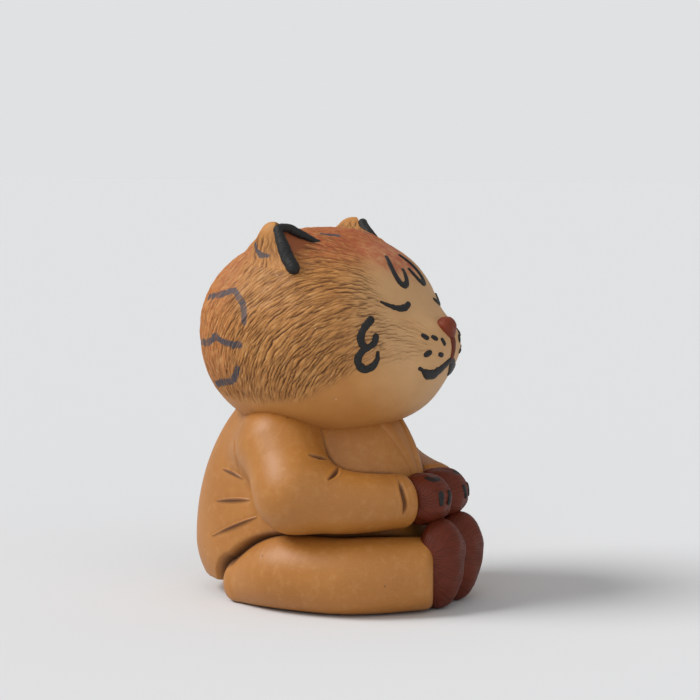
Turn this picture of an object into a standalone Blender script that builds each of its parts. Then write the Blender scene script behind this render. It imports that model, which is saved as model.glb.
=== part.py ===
"""Sitting tiger cub tea pet: a hollow clay figure luted together from separately formed pieces.

The tiger faces -Y, its right side is -X and it stands on Z = 0. All sizes are in metres.
"""
import math

import bmesh
import bpy
from mathutils import Vector

# Fits
SLIP_LINE = 0.0003  # line of slip left between two luted pieces

# Head: a full ball measured from its centre
HEAD_WIDTH = 0.048
HEAD_FRONT = 0.0204
HEAD_BACK = 0.0225
HEAD_RISE = 0.0182
HEAD_DROP = 0.0197
HEAD_FULLNESS = 2.2  # 2 is an ellipsoid, higher is boxier
HEAD_CENTRE_HEIGHT = 0.0500
HEAD_FORWARD = 0.0007  # head centre ahead of the body's upright axis
HEAD_WALL = 0.0035
HEAD_VENT_RADIUS = 0.0050

# Swellings of the face: height, then angles in degrees seen from the head's centre
WHISKER_PAD_HEIGHT = 0.0038
WHISKER_PAD_TURN = 12.0
WHISKER_PAD_TILT = -3.0
WHISKER_PAD_SPREAD = 18.0
WHISKER_PAD_SPREAD_UP = 12.6
WHISKER_PAD_SPREAD_DOWN = 16.0
CHIN_HEIGHT = 0.0031
CHIN_TILT = -29.0
CHIN_SPREAD_SIDE = 48.0
CHIN_SPREAD_UP = 22.0

# Ears: two rims meet at a tip; directions are (turn from the nose, tilt) in degrees
EAR_TIP_DIRECTION = (99.0, 51.0)
EAR_OUTER_DIRECTION = (83.0, 31.0)
EAR_INNER_DIRECTION = (70.0, 56.0)
EAR_BACK_DIRECTION = (113.0, 40.0)
EAR_TIP_RISE = 0.0057
EAR_TIP_RADIUS = 0.0007
EAR_FULLNESS = 0.7  # 1 is a straight-sided cone, lower swells it
EAR_FRONT_SWELL = 0.0006
EAR_ROOT_DEPTH = 0.0040  # how far the ear runs on inside the head before it is cut
EAR_BACK_COIL_RADIUS = 0.0010
EAR_FRONT_COIL_RADIUS = 0.0007
EAR_BACK_COIL_SHARES = (0.14, 0.5, 1.0)  # shares of the way down from the tip
EAR_FRONT_COIL_SHARES = (0.35, 0.65, 1.0)

# Nose
NOSE_WIDTH = 0.0046
NOSE_HEIGHT = 0.0042
NOSE_DEPTH = 0.0034
NOSE_TILT = 2.6
LIP_LINE_RADIUS = 0.0005

# Black slip strokes laid on the clay
STROKE_THICKNESS = 0.0004
EYELID_RADIUS = 0.00055
BROW_RADIUS = 0.00050
CHEEK_RADIUS = 0.00060
MOUTH_RADIUS = 0.00065
STRIPE_RADIUS = 0.0012
CLAW_RADIUS = 0.0006
WHISKER_DOT_RADIUS = 0.0008

# Robe-covered body: a full ball measured from its widest level and cut flat below
TORSO_WIDTH = 0.035
TORSO_FRONT = 0.0204
TORSO_BACK = 0.0254
TORSO_BELLY_HEIGHT = 0.0100
HEAD_OVER_TORSO = 0.0065  # head centre above the top that the body's ball would have
TORSO_DROP = 0.0180
TORSO_WALL = 0.0035
BASE_THICKNESS = 0.0030
BASE_VENT_RADIUS = 0.0045

# Lapels
LAPEL_RADIUS = 0.0013
LAPEL_THICKNESS = 0.0006

# Legs: rolls folded round the body
LEG_RADIUS = 0.0071
HIP_RADIUS = 0.0068
ANKLE_RADIUS = 0.0058
LEG_FLAT_DEPTH = 0.0006  # how much of the roll is pressed flat by the table
LEG_SINK = 0.0020  # leg centre line inside the side of the body
HIP_BACK = 0.0085
HIP_SINK = 0.0054  # hip centre inside the side of the body
ANKLE_OUT = 0.0074
ANKLE_LIFT = 0.0008  # underside of the ankle above the table
ANKLE_AHEAD = 0.0026  # ahead of the belly

# Feet
FOOT_WIDTH = 0.0104
FOOT_DEPTH = 0.0100
FOOT_OVER_LEG = 0.0023  # top of the foot above the top of the leg
FOOT_FULLNESS = 2.2
FOOT_AHEAD = 0.0100  # front of the feet ahead of the belly
FOOT_FLAT_DEPTH = 0.0005

# Sleeves
SHOULDER_RADIUS = 0.0078
ELBOW_RADIUS = 0.0072
FOREARM_RADIUS = 0.0058
CUFF_RADIUS = 0.0053
SHOULDER_SINK = 0.0035  # shoulder centre inside the side of the body
SHOULDER_BACK = 0.0020
SHOULDER_UNDER_HEAD = 0.0205  # shoulder centre below the head's centre
ELBOW_STANDOFF = 0.0008  # elbow centre outside the side of the body
ELBOW_AHEAD = 0.0035
ELBOW_LIFT = 0.0020  # elbow centre above the forearm's level
CUFF_OUT = 0.0098
CUFF_STANDOFF = 0.0002

# Hands
HAND_WIDTH = 0.0094
HAND_DEPTH = 0.0096
HAND_HEIGHT = 0.0090
HAND_FULLNESS = 2.2
HAND_STANDOFF = 0.0022  # hand centre ahead of the belly

# Fineness of the meshes
HEAD_COLUMNS = 40
HEAD_ROWS = 28
TORSO_COLUMNS = 36
TORSO_ROWS = 22
CAVITY_COLUMNS = 20
CAVITY_ROWS = 12
PAW_COLUMNS = 16
PAW_ROWS = 12
TUBE_SPAN_STEPS = 3
LIMB_SIDES = 16
COIL_SIDES = 8
STROKE_SIDES = 6
STROKE_SPAN_STEPS = 2
DOT_COLUMNS = 8
DOT_ROWS = 5
DOME_ANGLES = (30.0, 60.0, 82.0)
STROKE_DOME_ANGLES = (60.0,)
EAR_SIDES = 16
EAR_RINGS = 3
NECK_HALVINGS = 20
VENT_SIDES = 20

# Strokes as (turn, tilt) in degrees on the right of the head; the left is their mirror image
EYELID_PATH = [(34.5, 17.0), (29.0, 14.8), (22.5, 13.4), (16.0, 15.2)]
BROW_PATH = [(19.0, 44.0), (20.0, 36.0), (18.5, 28.5), (14.5, 25.5), (11.0, 28.5), (10.0, 35.0)]
CHEEK_PATH = [
    (42.5, 8.5), (47.0, 4.0), (47.6, -1.0), (44.0, -3.8),
    (48.4, -8.0), (47.0, -13.0), (42.0, -12.4), (39.4, -6.5),
]
MOUTH_PATH = [(17.5, -13.8), (13.0, -16.6), (8.0, -17.2), (3.0, -14.4), (0.0, -11.5)]
NAPE_PATHS = {
    "upper": [(130.0, 15.0), (119.0, 18.5), (110.0, 19.0), (104.0, 13.5), (102.0, 5.0)],
    "middle": [(146.0, -4.5), (128.0, -0.5), (114.0, -2.5), (103.0, -3.5)],
    "lower": [(134.0, -22.0), (116.0, -21.0), (107.0, -17.5), (104.0, -13.0)],
}
CROWN_PATH = [(76.0, 69.0), (62.0, 73.0), (30.0, 76.0)]
LIP_LINE_PATH = [(0.0, 1.0), (0.0, -4.0), (0.0, -9.0)]
WHISKER_DOTS = [(21.0, -1.0), (15.5, 0.5), (10.0, -1.5), (19.5, -8.0), (11.5, -8.5)]
LAPEL_PATH = [(22.0, -3.0), (12.0, 9.0), (5.0, 17.0)]  # turn, then degrees below the neck line
CLAW_PATHS = {
    "inner": [(12.0, 14.0), (12.0, -14.0)],
    "outer": [(42.0, 16.0), (42.0, -12.0)],
}

# Places worked out from the sizes
feet_reach = TORSO_FRONT + FOOT_AHEAD
axis_y = (feet_reach - TORSO_BACK) / 2  # puts the origin midway between the feet and the back
head_centre = Vector((0.0, axis_y - HEAD_FORWARD, HEAD_CENTRE_HEIGHT))
torso_centre = Vector((0.0, axis_y, TORSO_BELLY_HEIGHT))
torso_rise = HEAD_CENTRE_HEIGHT - HEAD_OVER_TORSO - TORSO_BELLY_HEIGHT
shoulder_height = HEAD_CENTRE_HEIGHT - SHOULDER_UNDER_HEAD
leg_top = 2 * LEG_RADIUS - LEG_FLAT_DEPTH
foot_height = leg_top + FOOT_OVER_LEG + FOOT_FLAT_DEPTH
forearm_height = leg_top + SLIP_LINE + FOREARM_RADIUS
FAR = 0.2  # large enough to pass right through the figure

SIDES = {"right": -1.0, "left": 1.0}


def clear_scene():
    for item in list(bpy.data.objects):
        bpy.data.objects.remove(item, do_unlink=True)


def new_collection(name):
    collection = bpy.data.collections.new(name)
    bpy.context.scene.collection.children.link(collection)
    return collection


def clay(name, colour, roughness):
    material = bpy.data.materials.new(name)
    material.use_nodes = True
    shader = material.node_tree.nodes["Principled BSDF"]
    shader.inputs["Base Color"].default_value = (*colour, 1.0)
    shader.inputs["Roughness"].default_value = roughness
    shader.inputs["Metallic"].default_value = 0.0
    material.diffuse_color = (*colour, 1.0)
    return material


clear_scene()
parts = new_collection("tiger_tea_pet")
cutters = new_collection("cutters")
tan_clay = clay("tan_clay", (0.50, 0.27, 0.10), 0.55)
ochre_clay = clay("ochre_clay", (0.42, 0.21, 0.06), 0.45)
red_clay = clay("red_clay", (0.12, 0.03, 0.017), 0.45)
black_clay = clay("black_clay", (0.02, 0.018, 0.017), 0.55)


def mesh_from(bm, name):
    """Close off a working mesh: outward faces, shaded smooth."""
    bmesh.ops.recalc_face_normals(bm, faces=bm.faces)
    for face in bm.faces:
        face.smooth = True
    mesh = bpy.data.meshes.new(name)
    bm.to_mesh(mesh)
    bm.free()
    return mesh


def part(name, mesh, material):
    item = bpy.data.objects.new(name, mesh)
    item.data.materials.append(material)
    parts.objects.link(item)
    return item


def cutter(name, mesh):
    item = bpy.data.objects.new(name, mesh)
    item.hide_render = True
    item.display_type = "WIRE"
    cutters.objects.link(item)
    return item


def carve(item, tool, operation="DIFFERENCE"):
    modifier = item.modifiers.new(operation.lower() + " " + tool.name, "BOOLEAN")
    modifier.operation = operation
    modifier.solver = "EXACT"
    modifier.object = tool


def grown_form(mesh, amount, name):
    """A form moved outwards by an even amount, or inwards where the amount is negative."""
    bm = bmesh.new()
    bm.from_mesh(mesh)
    bm.normal_update()
    for vertex in bm.verts:
        vertex.co += vertex.normal * amount
    return mesh_from(bm, name)


def grown(mesh, amount, name):
    """A cutter that follows a form at an even distance."""
    return cutter(name, grown_form(mesh, amount, name))


def direction(turn, tilt, side=1.0):
    """Unit direction: turn in degrees from straight ahead towards the side, tilt upwards."""
    turn = math.radians(turn)
    tilt = math.radians(tilt)
    flat = math.cos(tilt)
    return Vector((side * math.sin(turn) * flat, -math.cos(turn) * flat, math.sin(tilt)))


def full_ball(way, width, front, back, rise, drop, fullness):
    """Distance from the centre to the skin of a full ball along a unit direction."""
    depth = front if way.y < 0 else back
    height = rise if way.z > 0 else drop
    total = (abs(way.x) * 2 / width) ** fullness
    total += (abs(way.y) / depth) ** fullness
    total += (abs(way.z) / height) ** fullness
    return total ** (-1.0 / fullness)


def swelling(turn, tilt, spread_side, spread_up):
    return math.exp(-((turn / spread_side) ** 2) - (tilt / spread_up) ** 2)


def head_skin(way):
    radius = full_ball(way, HEAD_WIDTH, HEAD_FRONT, HEAD_BACK, HEAD_RISE, HEAD_DROP, HEAD_FULLNESS)
    turn = math.degrees(math.atan2(way.x, -way.y))
    tilt = math.degrees(math.asin(max(-1.0, min(1.0, way.z))))
    pad_tilt = tilt - WHISKER_PAD_TILT
    pad_up = WHISKER_PAD_SPREAD_UP if pad_tilt > 0 else WHISKER_PAD_SPREAD_DOWN
    for side in SIDES.values():
        pad_turn = turn - side * WHISKER_PAD_TURN
        radius += WHISKER_PAD_HEIGHT * swelling(pad_turn, pad_tilt, WHISKER_PAD_SPREAD, pad_up)
    radius += CHIN_HEIGHT * swelling(turn, tilt - CHIN_TILT, CHIN_SPREAD_SIDE, CHIN_SPREAD_UP)
    return way * radius


def torso_skin(way):
    ellipsoid = 2.0
    return way * full_ball(way, TORSO_WIDTH, TORSO_FRONT, TORSO_BACK, torso_rise, TORSO_DROP, ellipsoid)


def hand_skin(way):
    half_depth = HAND_DEPTH / 2
    half_height = HAND_HEIGHT / 2
    return way * full_ball(way, HAND_WIDTH, half_depth, half_depth, half_height, half_height, HAND_FULLNESS)


def foot_skin(way):
    half_depth = FOOT_DEPTH / 2
    half_height = foot_height / 2
    return way * full_ball(way, FOOT_WIDTH, half_depth, half_depth, half_height, half_height, FOOT_FULLNESS)


def ball(name, centre, skin, columns, rows):
    bm = bmesh.new()
    bmesh.ops.create_uvsphere(bm, u_segments=columns, v_segments=rows, radius=1.0)
    for vertex in bm.verts:
        vertex.co = centre + skin(vertex.co.normalized())
    return mesh_from(bm, name)


def box(name, low, high):
    bm = bmesh.new()
    bmesh.ops.create_cube(bm, size=1.0)
    low = Vector(low)
    high = Vector(high)
    for vertex in bm.verts:
        vertex.co = (low + high) / 2 + vertex.co * (high - low)
    return cutter(name, mesh_from(bm, name))


def upright_rod(name, radius, bottom, top):
    bm = bmesh.new()
    bmesh.ops.create_cone(
        bm, cap_ends=True, segments=VENT_SIDES, radius1=radius, radius2=radius, depth=top - bottom
    )
    middle = Vector((0.0, axis_y, (bottom + top) / 2))
    bmesh.ops.translate(bm, verts=bm.verts, vec=middle)
    return cutter(name, mesh_from(bm, name))


def spline_point(before, start, end, after, share):
    """Point on the smooth curve that runs from start to end."""
    square = share * share
    cube = square * share
    bend = before * (2 * square - cube - share) + start * (3 * cube - 5 * square + 2)
    bend += end * (4 * square - 3 * cube + share) + after * (cube - square)
    return bend / 2


def smooth_run(points, steps):
    """Resample a row of vectors along a smooth curve through all of them."""
    padded = [points[0] * 2 - points[1], *points, points[-1] * 2 - points[-2]]
    run = []
    for index in range(len(points) - 1):
        for step in range(steps):
            run.append(spline_point(*padded[index:index + 4], step / steps))
    run.append(points[-1])
    return run


def roll(name, centres, radii, sides, steps=TUBE_SPAN_STEPS, dome_angles=DOME_ANGLES):
    """A solid roll of clay along a smooth line, with domed ends."""
    knots = [Vector((*centre, radius)) for centre, radius in zip(centres, radii)]
    run = smooth_run(knots, steps)
    stations = [(knot.to_3d(), knot.w) for knot in run]
    bends = [math.radians(angle) for angle in dome_angles]
    ends = []
    for near, inner in ((stations[0], stations[1]), (stations[-1], stations[-2])):
        place, radius = near
        outward = (place - inner[0]).normalized() * radius
        ends.append([(place + outward * math.sin(bend), radius * math.cos(bend)) for bend in bends])
    stations = ends[0][::-1] + stations + ends[1]
    curve = bpy.data.curves.new(name, "CURVE")
    curve.dimensions = "3D"
    curve.bevel_depth = 1.0
    curve.bevel_resolution = (sides - 4) // 2
    curve.use_fill_caps = True
    line = curve.splines.new("POLY")
    line.points.add(len(stations) - 1)
    for point, (place, radius) in zip(line.points, stations):
        point.co = (*place, 1.0)
        point.radius = radius
    holder = bpy.data.objects.new(name, curve)
    cutters.objects.link(holder)
    graph = bpy.context.evaluated_depsgraph_get()
    rough = bpy.data.meshes.new_from_object(holder.evaluated_get(graph))
    bpy.data.objects.remove(holder, do_unlink=True)
    bm = bmesh.new()
    bm.from_mesh(rough)
    bmesh.ops.remove_doubles(bm, verts=bm.verts, dist=0.00001)
    return mesh_from(bm, name)


def head_place(turn, tilt, side, lift=0.0):
    way = direction(turn, tilt, side)
    return head_centre + head_skin(way) + way * lift


# Forms that the pieces are cut from and fitted to
head_form = ball("head_form", head_centre, head_skin, HEAD_COLUMNS, HEAD_ROWS)
torso_form = ball("torso_form", torso_centre, torso_skin, TORSO_COLUMNS, TORSO_ROWS)
head_room = grown(head_form, SLIP_LINE, "head_room")
torso_room = grown(torso_form, SLIP_LINE, "torso_room")
table = box("table", (-FAR, -FAR, -FAR), (FAR, FAR, 0.0))
middle_gap = box("middle_gap", (-SLIP_LINE / 2, -FAR, -FAR), (SLIP_LINE / 2, FAR, FAR))


def make_head():
    item = part("head_shell", head_form, tan_clay)
    cavity_form = ball("head_cavity_form", head_centre, head_skin, CAVITY_COLUMNS, CAVITY_ROWS)
    carve(item, grown(cavity_form, -HEAD_WALL, "head_cavity"))
    carve(item, upright_rod("head_vent", HEAD_VENT_RADIUS, 0.0, HEAD_CENTRE_HEIGHT))


def make_body():
    item = part("robe_body", torso_form, ochre_clay)
    cavity_form = ball("torso_cavity_form", torso_centre, torso_skin, CAVITY_COLUMNS, CAVITY_ROWS)
    carve(item, table)
    carve(item, grown(cavity_form, -TORSO_WALL, "torso_cavity"))
    carve(item, head_room)
    plate_form = grown_form(cavity_form, -TORSO_WALL - SLIP_LINE, "base_form")
    plate = part("base_plate", plate_form, ochre_clay)
    carve(plate, box("base_slab", (-FAR, -FAR, 0.0), (FAR, FAR, BASE_THICKNESS)), "INTERSECT")
    carve(plate, upright_rod("base_vent", BASE_VENT_RADIUS, -BASE_THICKNESS, 2 * BASE_THICKNESS))


def make_foot(name, side):
    centre = Vector((
        side * (FOOT_WIDTH + SLIP_LINE) / 2,
        axis_y - feet_reach + FOOT_DEPTH / 2,
        foot_height / 2 - FOOT_FLAT_DEPTH,
    ))
    form = ball(name + "_foot_form", centre, foot_skin, PAW_COLUMNS, PAW_ROWS)
    item = part(name + "_foot", form, red_clay)
    carve(item, table)
    carve(item, torso_room)
    carve(item, middle_gap)
    return grown(form, SLIP_LINE, name + "_foot_room")


def make_leg(name, side, foot_room):
    side_x = TORSO_WIDTH / 2 - LEG_SINK
    height = LEG_RADIUS - LEG_FLAT_DEPTH
    belly = axis_y - TORSO_FRONT
    ankle = Vector((side * ANKLE_OUT, belly - ANKLE_AHEAD, ANKLE_RADIUS + ANKLE_LIFT))
    hip_x = side * (TORSO_WIDTH / 2 - HIP_SINK)
    hip = Vector((hip_x, axis_y + HIP_BACK, HIP_RADIUS - LEG_FLAT_DEPTH))
    thigh = Vector((side * side_x, axis_y, height))
    knee = Vector((side * side_x, (axis_y + belly) / 2, height))
    shin = (knee + ankle) / 2 + Vector((side * LEG_SINK / 2, 0.0, 0.0))
    form = roll(
        name + "_leg_form", [hip, thigh, knee, shin, ankle],
        [HIP_RADIUS, LEG_RADIUS, LEG_RADIUS, LEG_RADIUS, ANKLE_RADIUS], LIMB_SIDES,
    )
    item = part(name + "_leg", form, ochre_clay)
    carve(item, table)
    carve(item, torso_room)
    carve(item, foot_room)
    carve(item, middle_gap)
    return grown(form, SLIP_LINE, name + "_leg_room")


def make_arm(name, side, leg_room, foot_room):
    side_x = TORSO_WIDTH / 2
    belly = axis_y - TORSO_FRONT
    shoulder = Vector((side * (side_x - SHOULDER_SINK), axis_y + SHOULDER_BACK, shoulder_height))
    elbow_x = side * (side_x + ELBOW_STANDOFF)
    elbow = Vector((elbow_x, axis_y - ELBOW_AHEAD, forearm_height + ELBOW_LIFT))
    cuff = Vector((side * CUFF_OUT, belly - CUFF_STANDOFF, forearm_height))
    forearm = (elbow + cuff) / 2 + Vector((side * ELBOW_STANDOFF, 0.0, 0.0))
    upper_form = roll(
        name + "_upper_arm_form", [shoulder, elbow],
        [SHOULDER_RADIUS, ELBOW_RADIUS - SLIP_LINE], LIMB_SIDES,
    )
    forearm_form = roll(
        name + "_forearm_form", [elbow, forearm, cuff],
        [ELBOW_RADIUS, FOREARM_RADIUS, CUFF_RADIUS], LIMB_SIDES,
    )
    hand_centre = Vector((side * (HAND_WIDTH + SLIP_LINE) / 2, belly - HAND_STANDOFF, forearm_height))
    hand_form = ball(name + "_hand_form", hand_centre, hand_skin, PAW_COLUMNS, PAW_ROWS)
    hand_room = grown(hand_form, SLIP_LINE, name + "_hand_room")
    sleeve = part(name + "_sleeve", upper_form, ochre_clay)
    carve(sleeve, cutter(name + "_forearm", forearm_form), "UNION")
    for room in (torso_room, head_room, leg_room, foot_room, hand_room):
        carve(sleeve, room)
    hand = part(name + "_hand", hand_form, red_clay)
    for room in (torso_room, leg_room, foot_room, middle_gap):
        carve(hand, room)
    hand_top = grown(hand_form, SLIP_LINE + STROKE_THICKNESS, name + "_hand_top")
    for place, path in CLAW_PATHS.items():
        points = []
        for turn, tilt in path:
            points.append(hand_centre + hand_skin(direction(turn, tilt, side)))
        stroke(name + "_claw_" + place, points, CLAW_RADIUS, hand_room, hand_top, black_clay)


def stroke(name, points, radius, under, over, material):
    """A thin band of slip laid on a form: the part of a roll between two heights above the form."""
    radii = [radius] * len(points)
    form = roll(name, points, radii, STROKE_SIDES, STROKE_SPAN_STEPS, STROKE_DOME_ANGLES)
    item = part(name, form, material)
    carve(item, under)
    carve(item, over, "INTERSECT")
    return item


def make_ear(name, side):
    tip = head_place(*EAR_TIP_DIRECTION, side, EAR_TIP_RISE)
    outer = head_place(*EAR_OUTER_DIRECTION, side)
    inner = head_place(*EAR_INNER_DIRECTION, side)
    back = head_place(*EAR_BACK_DIRECTION, side)
    root = (outer + inner) / 2
    facing = (inner - tip).cross(outer - tip).normalized() * side
    root_share = 1.0 + EAR_ROOT_DEPTH / (root - tip).length
    tip_share = (EAR_TIP_RADIUS / (outer - root).length) ** (1.0 / EAR_FULLNESS)

    def ear_place(share, spread):
        """Place at a share of the way down from the tip, spread sideways from the ear's middle line."""
        return tip + (root - tip) * share + spread * share ** EAR_FULLNESS

    bm = bmesh.new()
    bmesh.ops.create_cone(bm, cap_ends=True, segments=EAR_SIDES, radius1=1.0, radius2=1.0, depth=1.0)
    uprights = [edge for edge in bm.edges if abs(edge.verts[0].co.z - edge.verts[1].co.z) > 0.5]
    bmesh.ops.subdivide_edges(bm, edges=uprights, cuts=EAR_RINGS)
    for vertex in bm.verts:
        share = tip_share + (root_share - tip_share) * (0.5 - vertex.co.z)
        depth = facing * EAR_FRONT_SWELL if vertex.co.y > 0 else root - back
        vertex.co = ear_place(share, (outer - root) * vertex.co.x + depth * vertex.co.y)
    form = mesh_from(bm, name + "_ear_form")
    ear = part(name + "_ear", form, tan_clay)
    carve(ear, head_room)
    ear_room = grown(form, SLIP_LINE, name + "_ear_room")
    back_lift = facing * (EAR_BACK_COIL_RADIUS + SLIP_LINE)
    back_line = [ear_place(share, outer - root) + back_lift for share in EAR_BACK_COIL_SHARES]
    back_radii = [EAR_FRONT_COIL_RADIUS, EAR_BACK_COIL_RADIUS, EAR_BACK_COIL_RADIUS]
    back_form = roll(name + "_back_coil_form", back_line, back_radii, COIL_SIDES)
    back_coil = part(name + "_ear_back_coil", back_form, black_clay)
    front_lift = facing * (EAR_FRONT_COIL_RADIUS + SLIP_LINE)
    front_line = [ear_place(share, inner - root) + front_lift for share in EAR_FRONT_COIL_SHARES]
    front_radii = [EAR_FRONT_COIL_RADIUS] * len(front_line)
    front_form = roll(name + "_front_coil_form", front_line, front_radii, COIL_SIDES)
    front_coil = part(name + "_ear_front_coil", front_form, black_clay)
    for coil in (back_coil, front_coil):
        carve(coil, head_room)
        carve(coil, ear_room)
    carve(front_coil, grown(back_form, SLIP_LINE, name + "_back_coil_room"))


def make_nose():
    centre = head_place(0.0, NOSE_TILT, 1.0)

    def nose_skin(way):
        half_depth = NOSE_DEPTH / 2
        half_height = NOSE_HEIGHT / 2
        return way * full_ball(way, NOSE_WIDTH, half_depth, half_depth, half_height, half_height, 2.0)

    form = ball("nose_form", centre, nose_skin, PAW_COLUMNS, PAW_ROWS)
    nose = part("nose", form, red_clay)
    carve(nose, head_room)
    lip_line = head_stroke("lip_line", LIP_LINE_PATH, 1.0, LIP_LINE_RADIUS, red_clay)
    carve(lip_line, grown(form, SLIP_LINE, "nose_room"))


def head_stroke(name, path, side, radius, material=black_clay):
    points = [head_place(turn, tilt, side) for turn, tilt in path]
    return stroke(name, points, radius, head_room, head_top, material)


def make_face_strokes(name, side):
    head_stroke(name + "_eyelid", EYELID_PATH, side, EYELID_RADIUS)
    head_stroke(name + "_brow_stroke", BROW_PATH, side, BROW_RADIUS)
    head_stroke(name + "_cheek_stroke", CHEEK_PATH, side, CHEEK_RADIUS)
    head_stroke(name + "_crown_stripe", CROWN_PATH, side, STRIPE_RADIUS)
    for place, path in NAPE_PATHS.items():
        head_stroke(name + "_nape_stripe_" + place, path, side, STRIPE_RADIUS)
    for number, (turn, tilt) in enumerate(WHISKER_DOTS, start=1):
        make_dot(name + "_whisker_dot_" + str(number), turn, tilt, side)


def make_dot(name, turn, tilt, side):
    def dot_skin(way):
        return way * WHISKER_DOT_RADIUS

    form = ball(name, head_place(turn, tilt, side), dot_skin, DOT_COLUMNS, DOT_ROWS)
    item = part(name, form, black_clay)
    carve(item, head_room)
    carve(item, head_top, "INTERSECT")


def make_mouth():
    right = [head_place(turn, tilt, SIDES["right"]) for turn, tilt in MOUTH_PATH]
    left = [head_place(turn, tilt, SIDES["left"]) for turn, tilt in reversed(MOUTH_PATH)]
    stroke("mouth_stroke", right + left[1:], MOUTH_RADIUS, head_room, head_top, black_clay)


def neck_tilt(turn, side):
    """Tilt, seen from the body's centre, at which the body's skin goes in under the head."""
    low = 0.0
    high = 90.0
    for _ in range(NECK_HALVINGS):
        tilt = (low + high) / 2
        place = torso_centre + torso_skin(direction(turn, tilt, side)) - head_centre
        if place.length > head_skin(place.normalized()).length:
            low = tilt
        else:
            high = tilt
    return low


def make_lapel(name, side):
    torso_top = grown(torso_form, SLIP_LINE + LAPEL_THICKNESS, name + "_lapel_top")
    points = []
    for turn, drop in LAPEL_PATH:
        way = direction(turn, neck_tilt(turn, side) - drop, side)
        points.append(torso_centre + torso_skin(way))
    item = stroke(name + "_lapel", points, LAPEL_RADIUS, torso_room, torso_top, ochre_clay)
    carve(item, head_room)
    carve(item, middle_gap)


head_top = grown(head_form, SLIP_LINE + STROKE_THICKNESS, "head_top")
make_head()
make_body()
make_nose()
make_mouth()
for side_name, side_sign in SIDES.items():
    make_ear(side_name, side_sign)
    make_face_strokes(side_name, side_sign)
    own_foot_room = make_foot(side_name, side_sign)
    own_leg_room = make_leg(side_name, side_sign, own_foot_room)
    make_arm(side_name, side_sign, own_leg_room, own_foot_room)
    make_lapel(side_name, side_sign)
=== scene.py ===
"""Looks of the sitting tiger tea pet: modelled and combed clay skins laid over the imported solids.

The tiger faces -Y, its right side is -X and it stands on Z = 0. All sizes are in metres.
"""
import math

import bmesh
import bpy
import numpy as np
from mathutils import Matrix, Vector
from mathutils.bvhtree import BVHTree


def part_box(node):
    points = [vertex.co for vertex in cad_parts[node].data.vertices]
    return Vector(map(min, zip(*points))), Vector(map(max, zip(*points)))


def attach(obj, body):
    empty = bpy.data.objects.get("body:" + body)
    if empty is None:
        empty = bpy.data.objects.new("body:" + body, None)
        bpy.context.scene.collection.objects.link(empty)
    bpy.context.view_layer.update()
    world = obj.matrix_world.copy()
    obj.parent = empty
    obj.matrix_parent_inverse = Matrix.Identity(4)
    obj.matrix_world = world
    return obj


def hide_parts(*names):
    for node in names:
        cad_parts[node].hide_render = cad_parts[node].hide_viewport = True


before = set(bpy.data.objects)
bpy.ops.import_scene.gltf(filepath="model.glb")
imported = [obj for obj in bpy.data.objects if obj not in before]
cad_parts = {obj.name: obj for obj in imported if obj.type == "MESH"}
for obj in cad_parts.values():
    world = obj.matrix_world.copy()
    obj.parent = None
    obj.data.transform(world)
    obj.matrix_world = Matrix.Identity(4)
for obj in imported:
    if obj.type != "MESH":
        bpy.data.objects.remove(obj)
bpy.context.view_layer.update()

SIDES = {"right": -1.0, "left": 1.0}
MM = 0.001

# Full balls: their centres, and width, front, back, rise, drop and fullness from there
HEAD_CENTRE = np.array((0.0, 0.0018, 0.0500))
HEAD_FORM = (0.048, 0.0204, 0.0225, 0.0182, 0.0197, 2.2)
ROBE_CENTRE = np.array((0.0, 0.0025, 0.0100))
ROBE_FORM = (0.035, 0.0204, 0.0254, 0.0335, 0.0180, 2.0)
HAND_CENTRE = (0.0039, -0.0201, 0.0201)
HAND_FORM = (0.0100, 0.0051, 0.0050, 0.0046, 0.0048, 2.2)
FOOT_CENTRE = (0.0043, -0.0231, 0.0104)
FOOT_FORM = (0.0118, 0.0050, 0.0028, 0.0064, 0.0104, 2.0)
NOSE_FORM = (0.0050, 0.0018, 0.0018, 0.0025, 0.0025, 2.3)
NOSE_TILT = 1.7
NOSE_SINK = 0.0005

# Swellings on the head and the robe; turns, tilts and spreads in degrees
PAD_HEIGHT = 0.0038
PAD_TURN = 12.0
PAD_TILT = -3.0
PAD_SPREAD = 18.0
PAD_SPREAD_UP = 12.6
PAD_SPREAD_DOWN = 16.0
CHIN_HEIGHT = 0.0031
CHIN_TILT = -29.0
CHIN_SPREAD = 48.0
CHIN_SPREAD_UP = 22.0
CROWN_RISE = 0.0010
CROWN_FROM = 0.80
CROWN_FULL = 0.98
CHEST_FILL = 0.0013
CHEST_TILT = 40.0
CHEST_SPREAD = 30.0
CHEST_SPREAD_UP = 20.0

# Limbs: centre lines and radii on the left side; the right is the mirror image
SHOULDER = (0.0140, 0.0037, 0.0295)
ELBOW = (0.0183, -0.0012, 0.0219)
FOREARM = (0.0143, -0.0098, 0.0201)
CUFF = (0.0066, -0.0187, 0.0199)
SLEEVE_LINE = (SHOULDER, ELBOW, FOREARM, CUFF)
SLEEVE_RADII = (0.0076, 0.0071, 0.0057, 0.0048)
CUFF_FACING = (-0.80, -0.60, 0.0)
CUFF_OVERHANG = -0.0005
ELBOW_FILL = 0.0024
HEM_ROUNDING = 0.0016
SOLE_ROUNDING = 0.0012
LEG_LINE = (
    (0.0122, 0.0110, 0.0034), (0.0155, 0.0020, 0.0065), (0.0155, -0.0077, 0.0065),
    (0.0125, -0.0141, 0.0066), (0.0057, -0.0228, 0.0068),
)
LEG_RADII = (0.0054, 0.0071, 0.0071, 0.0071, 0.0066)
LEG_HEM_FACING = (-0.41, -0.91, 0.0)
SLEEVE_FINENESS = 0.00019
LEG_FINENESS = 0.00024
HEM_TUCK = 0.0030
HEM_LEVEL = 0.0032
PLATE_CLEARANCE = 0.0003
PLATE_COVER = 0.009

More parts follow.
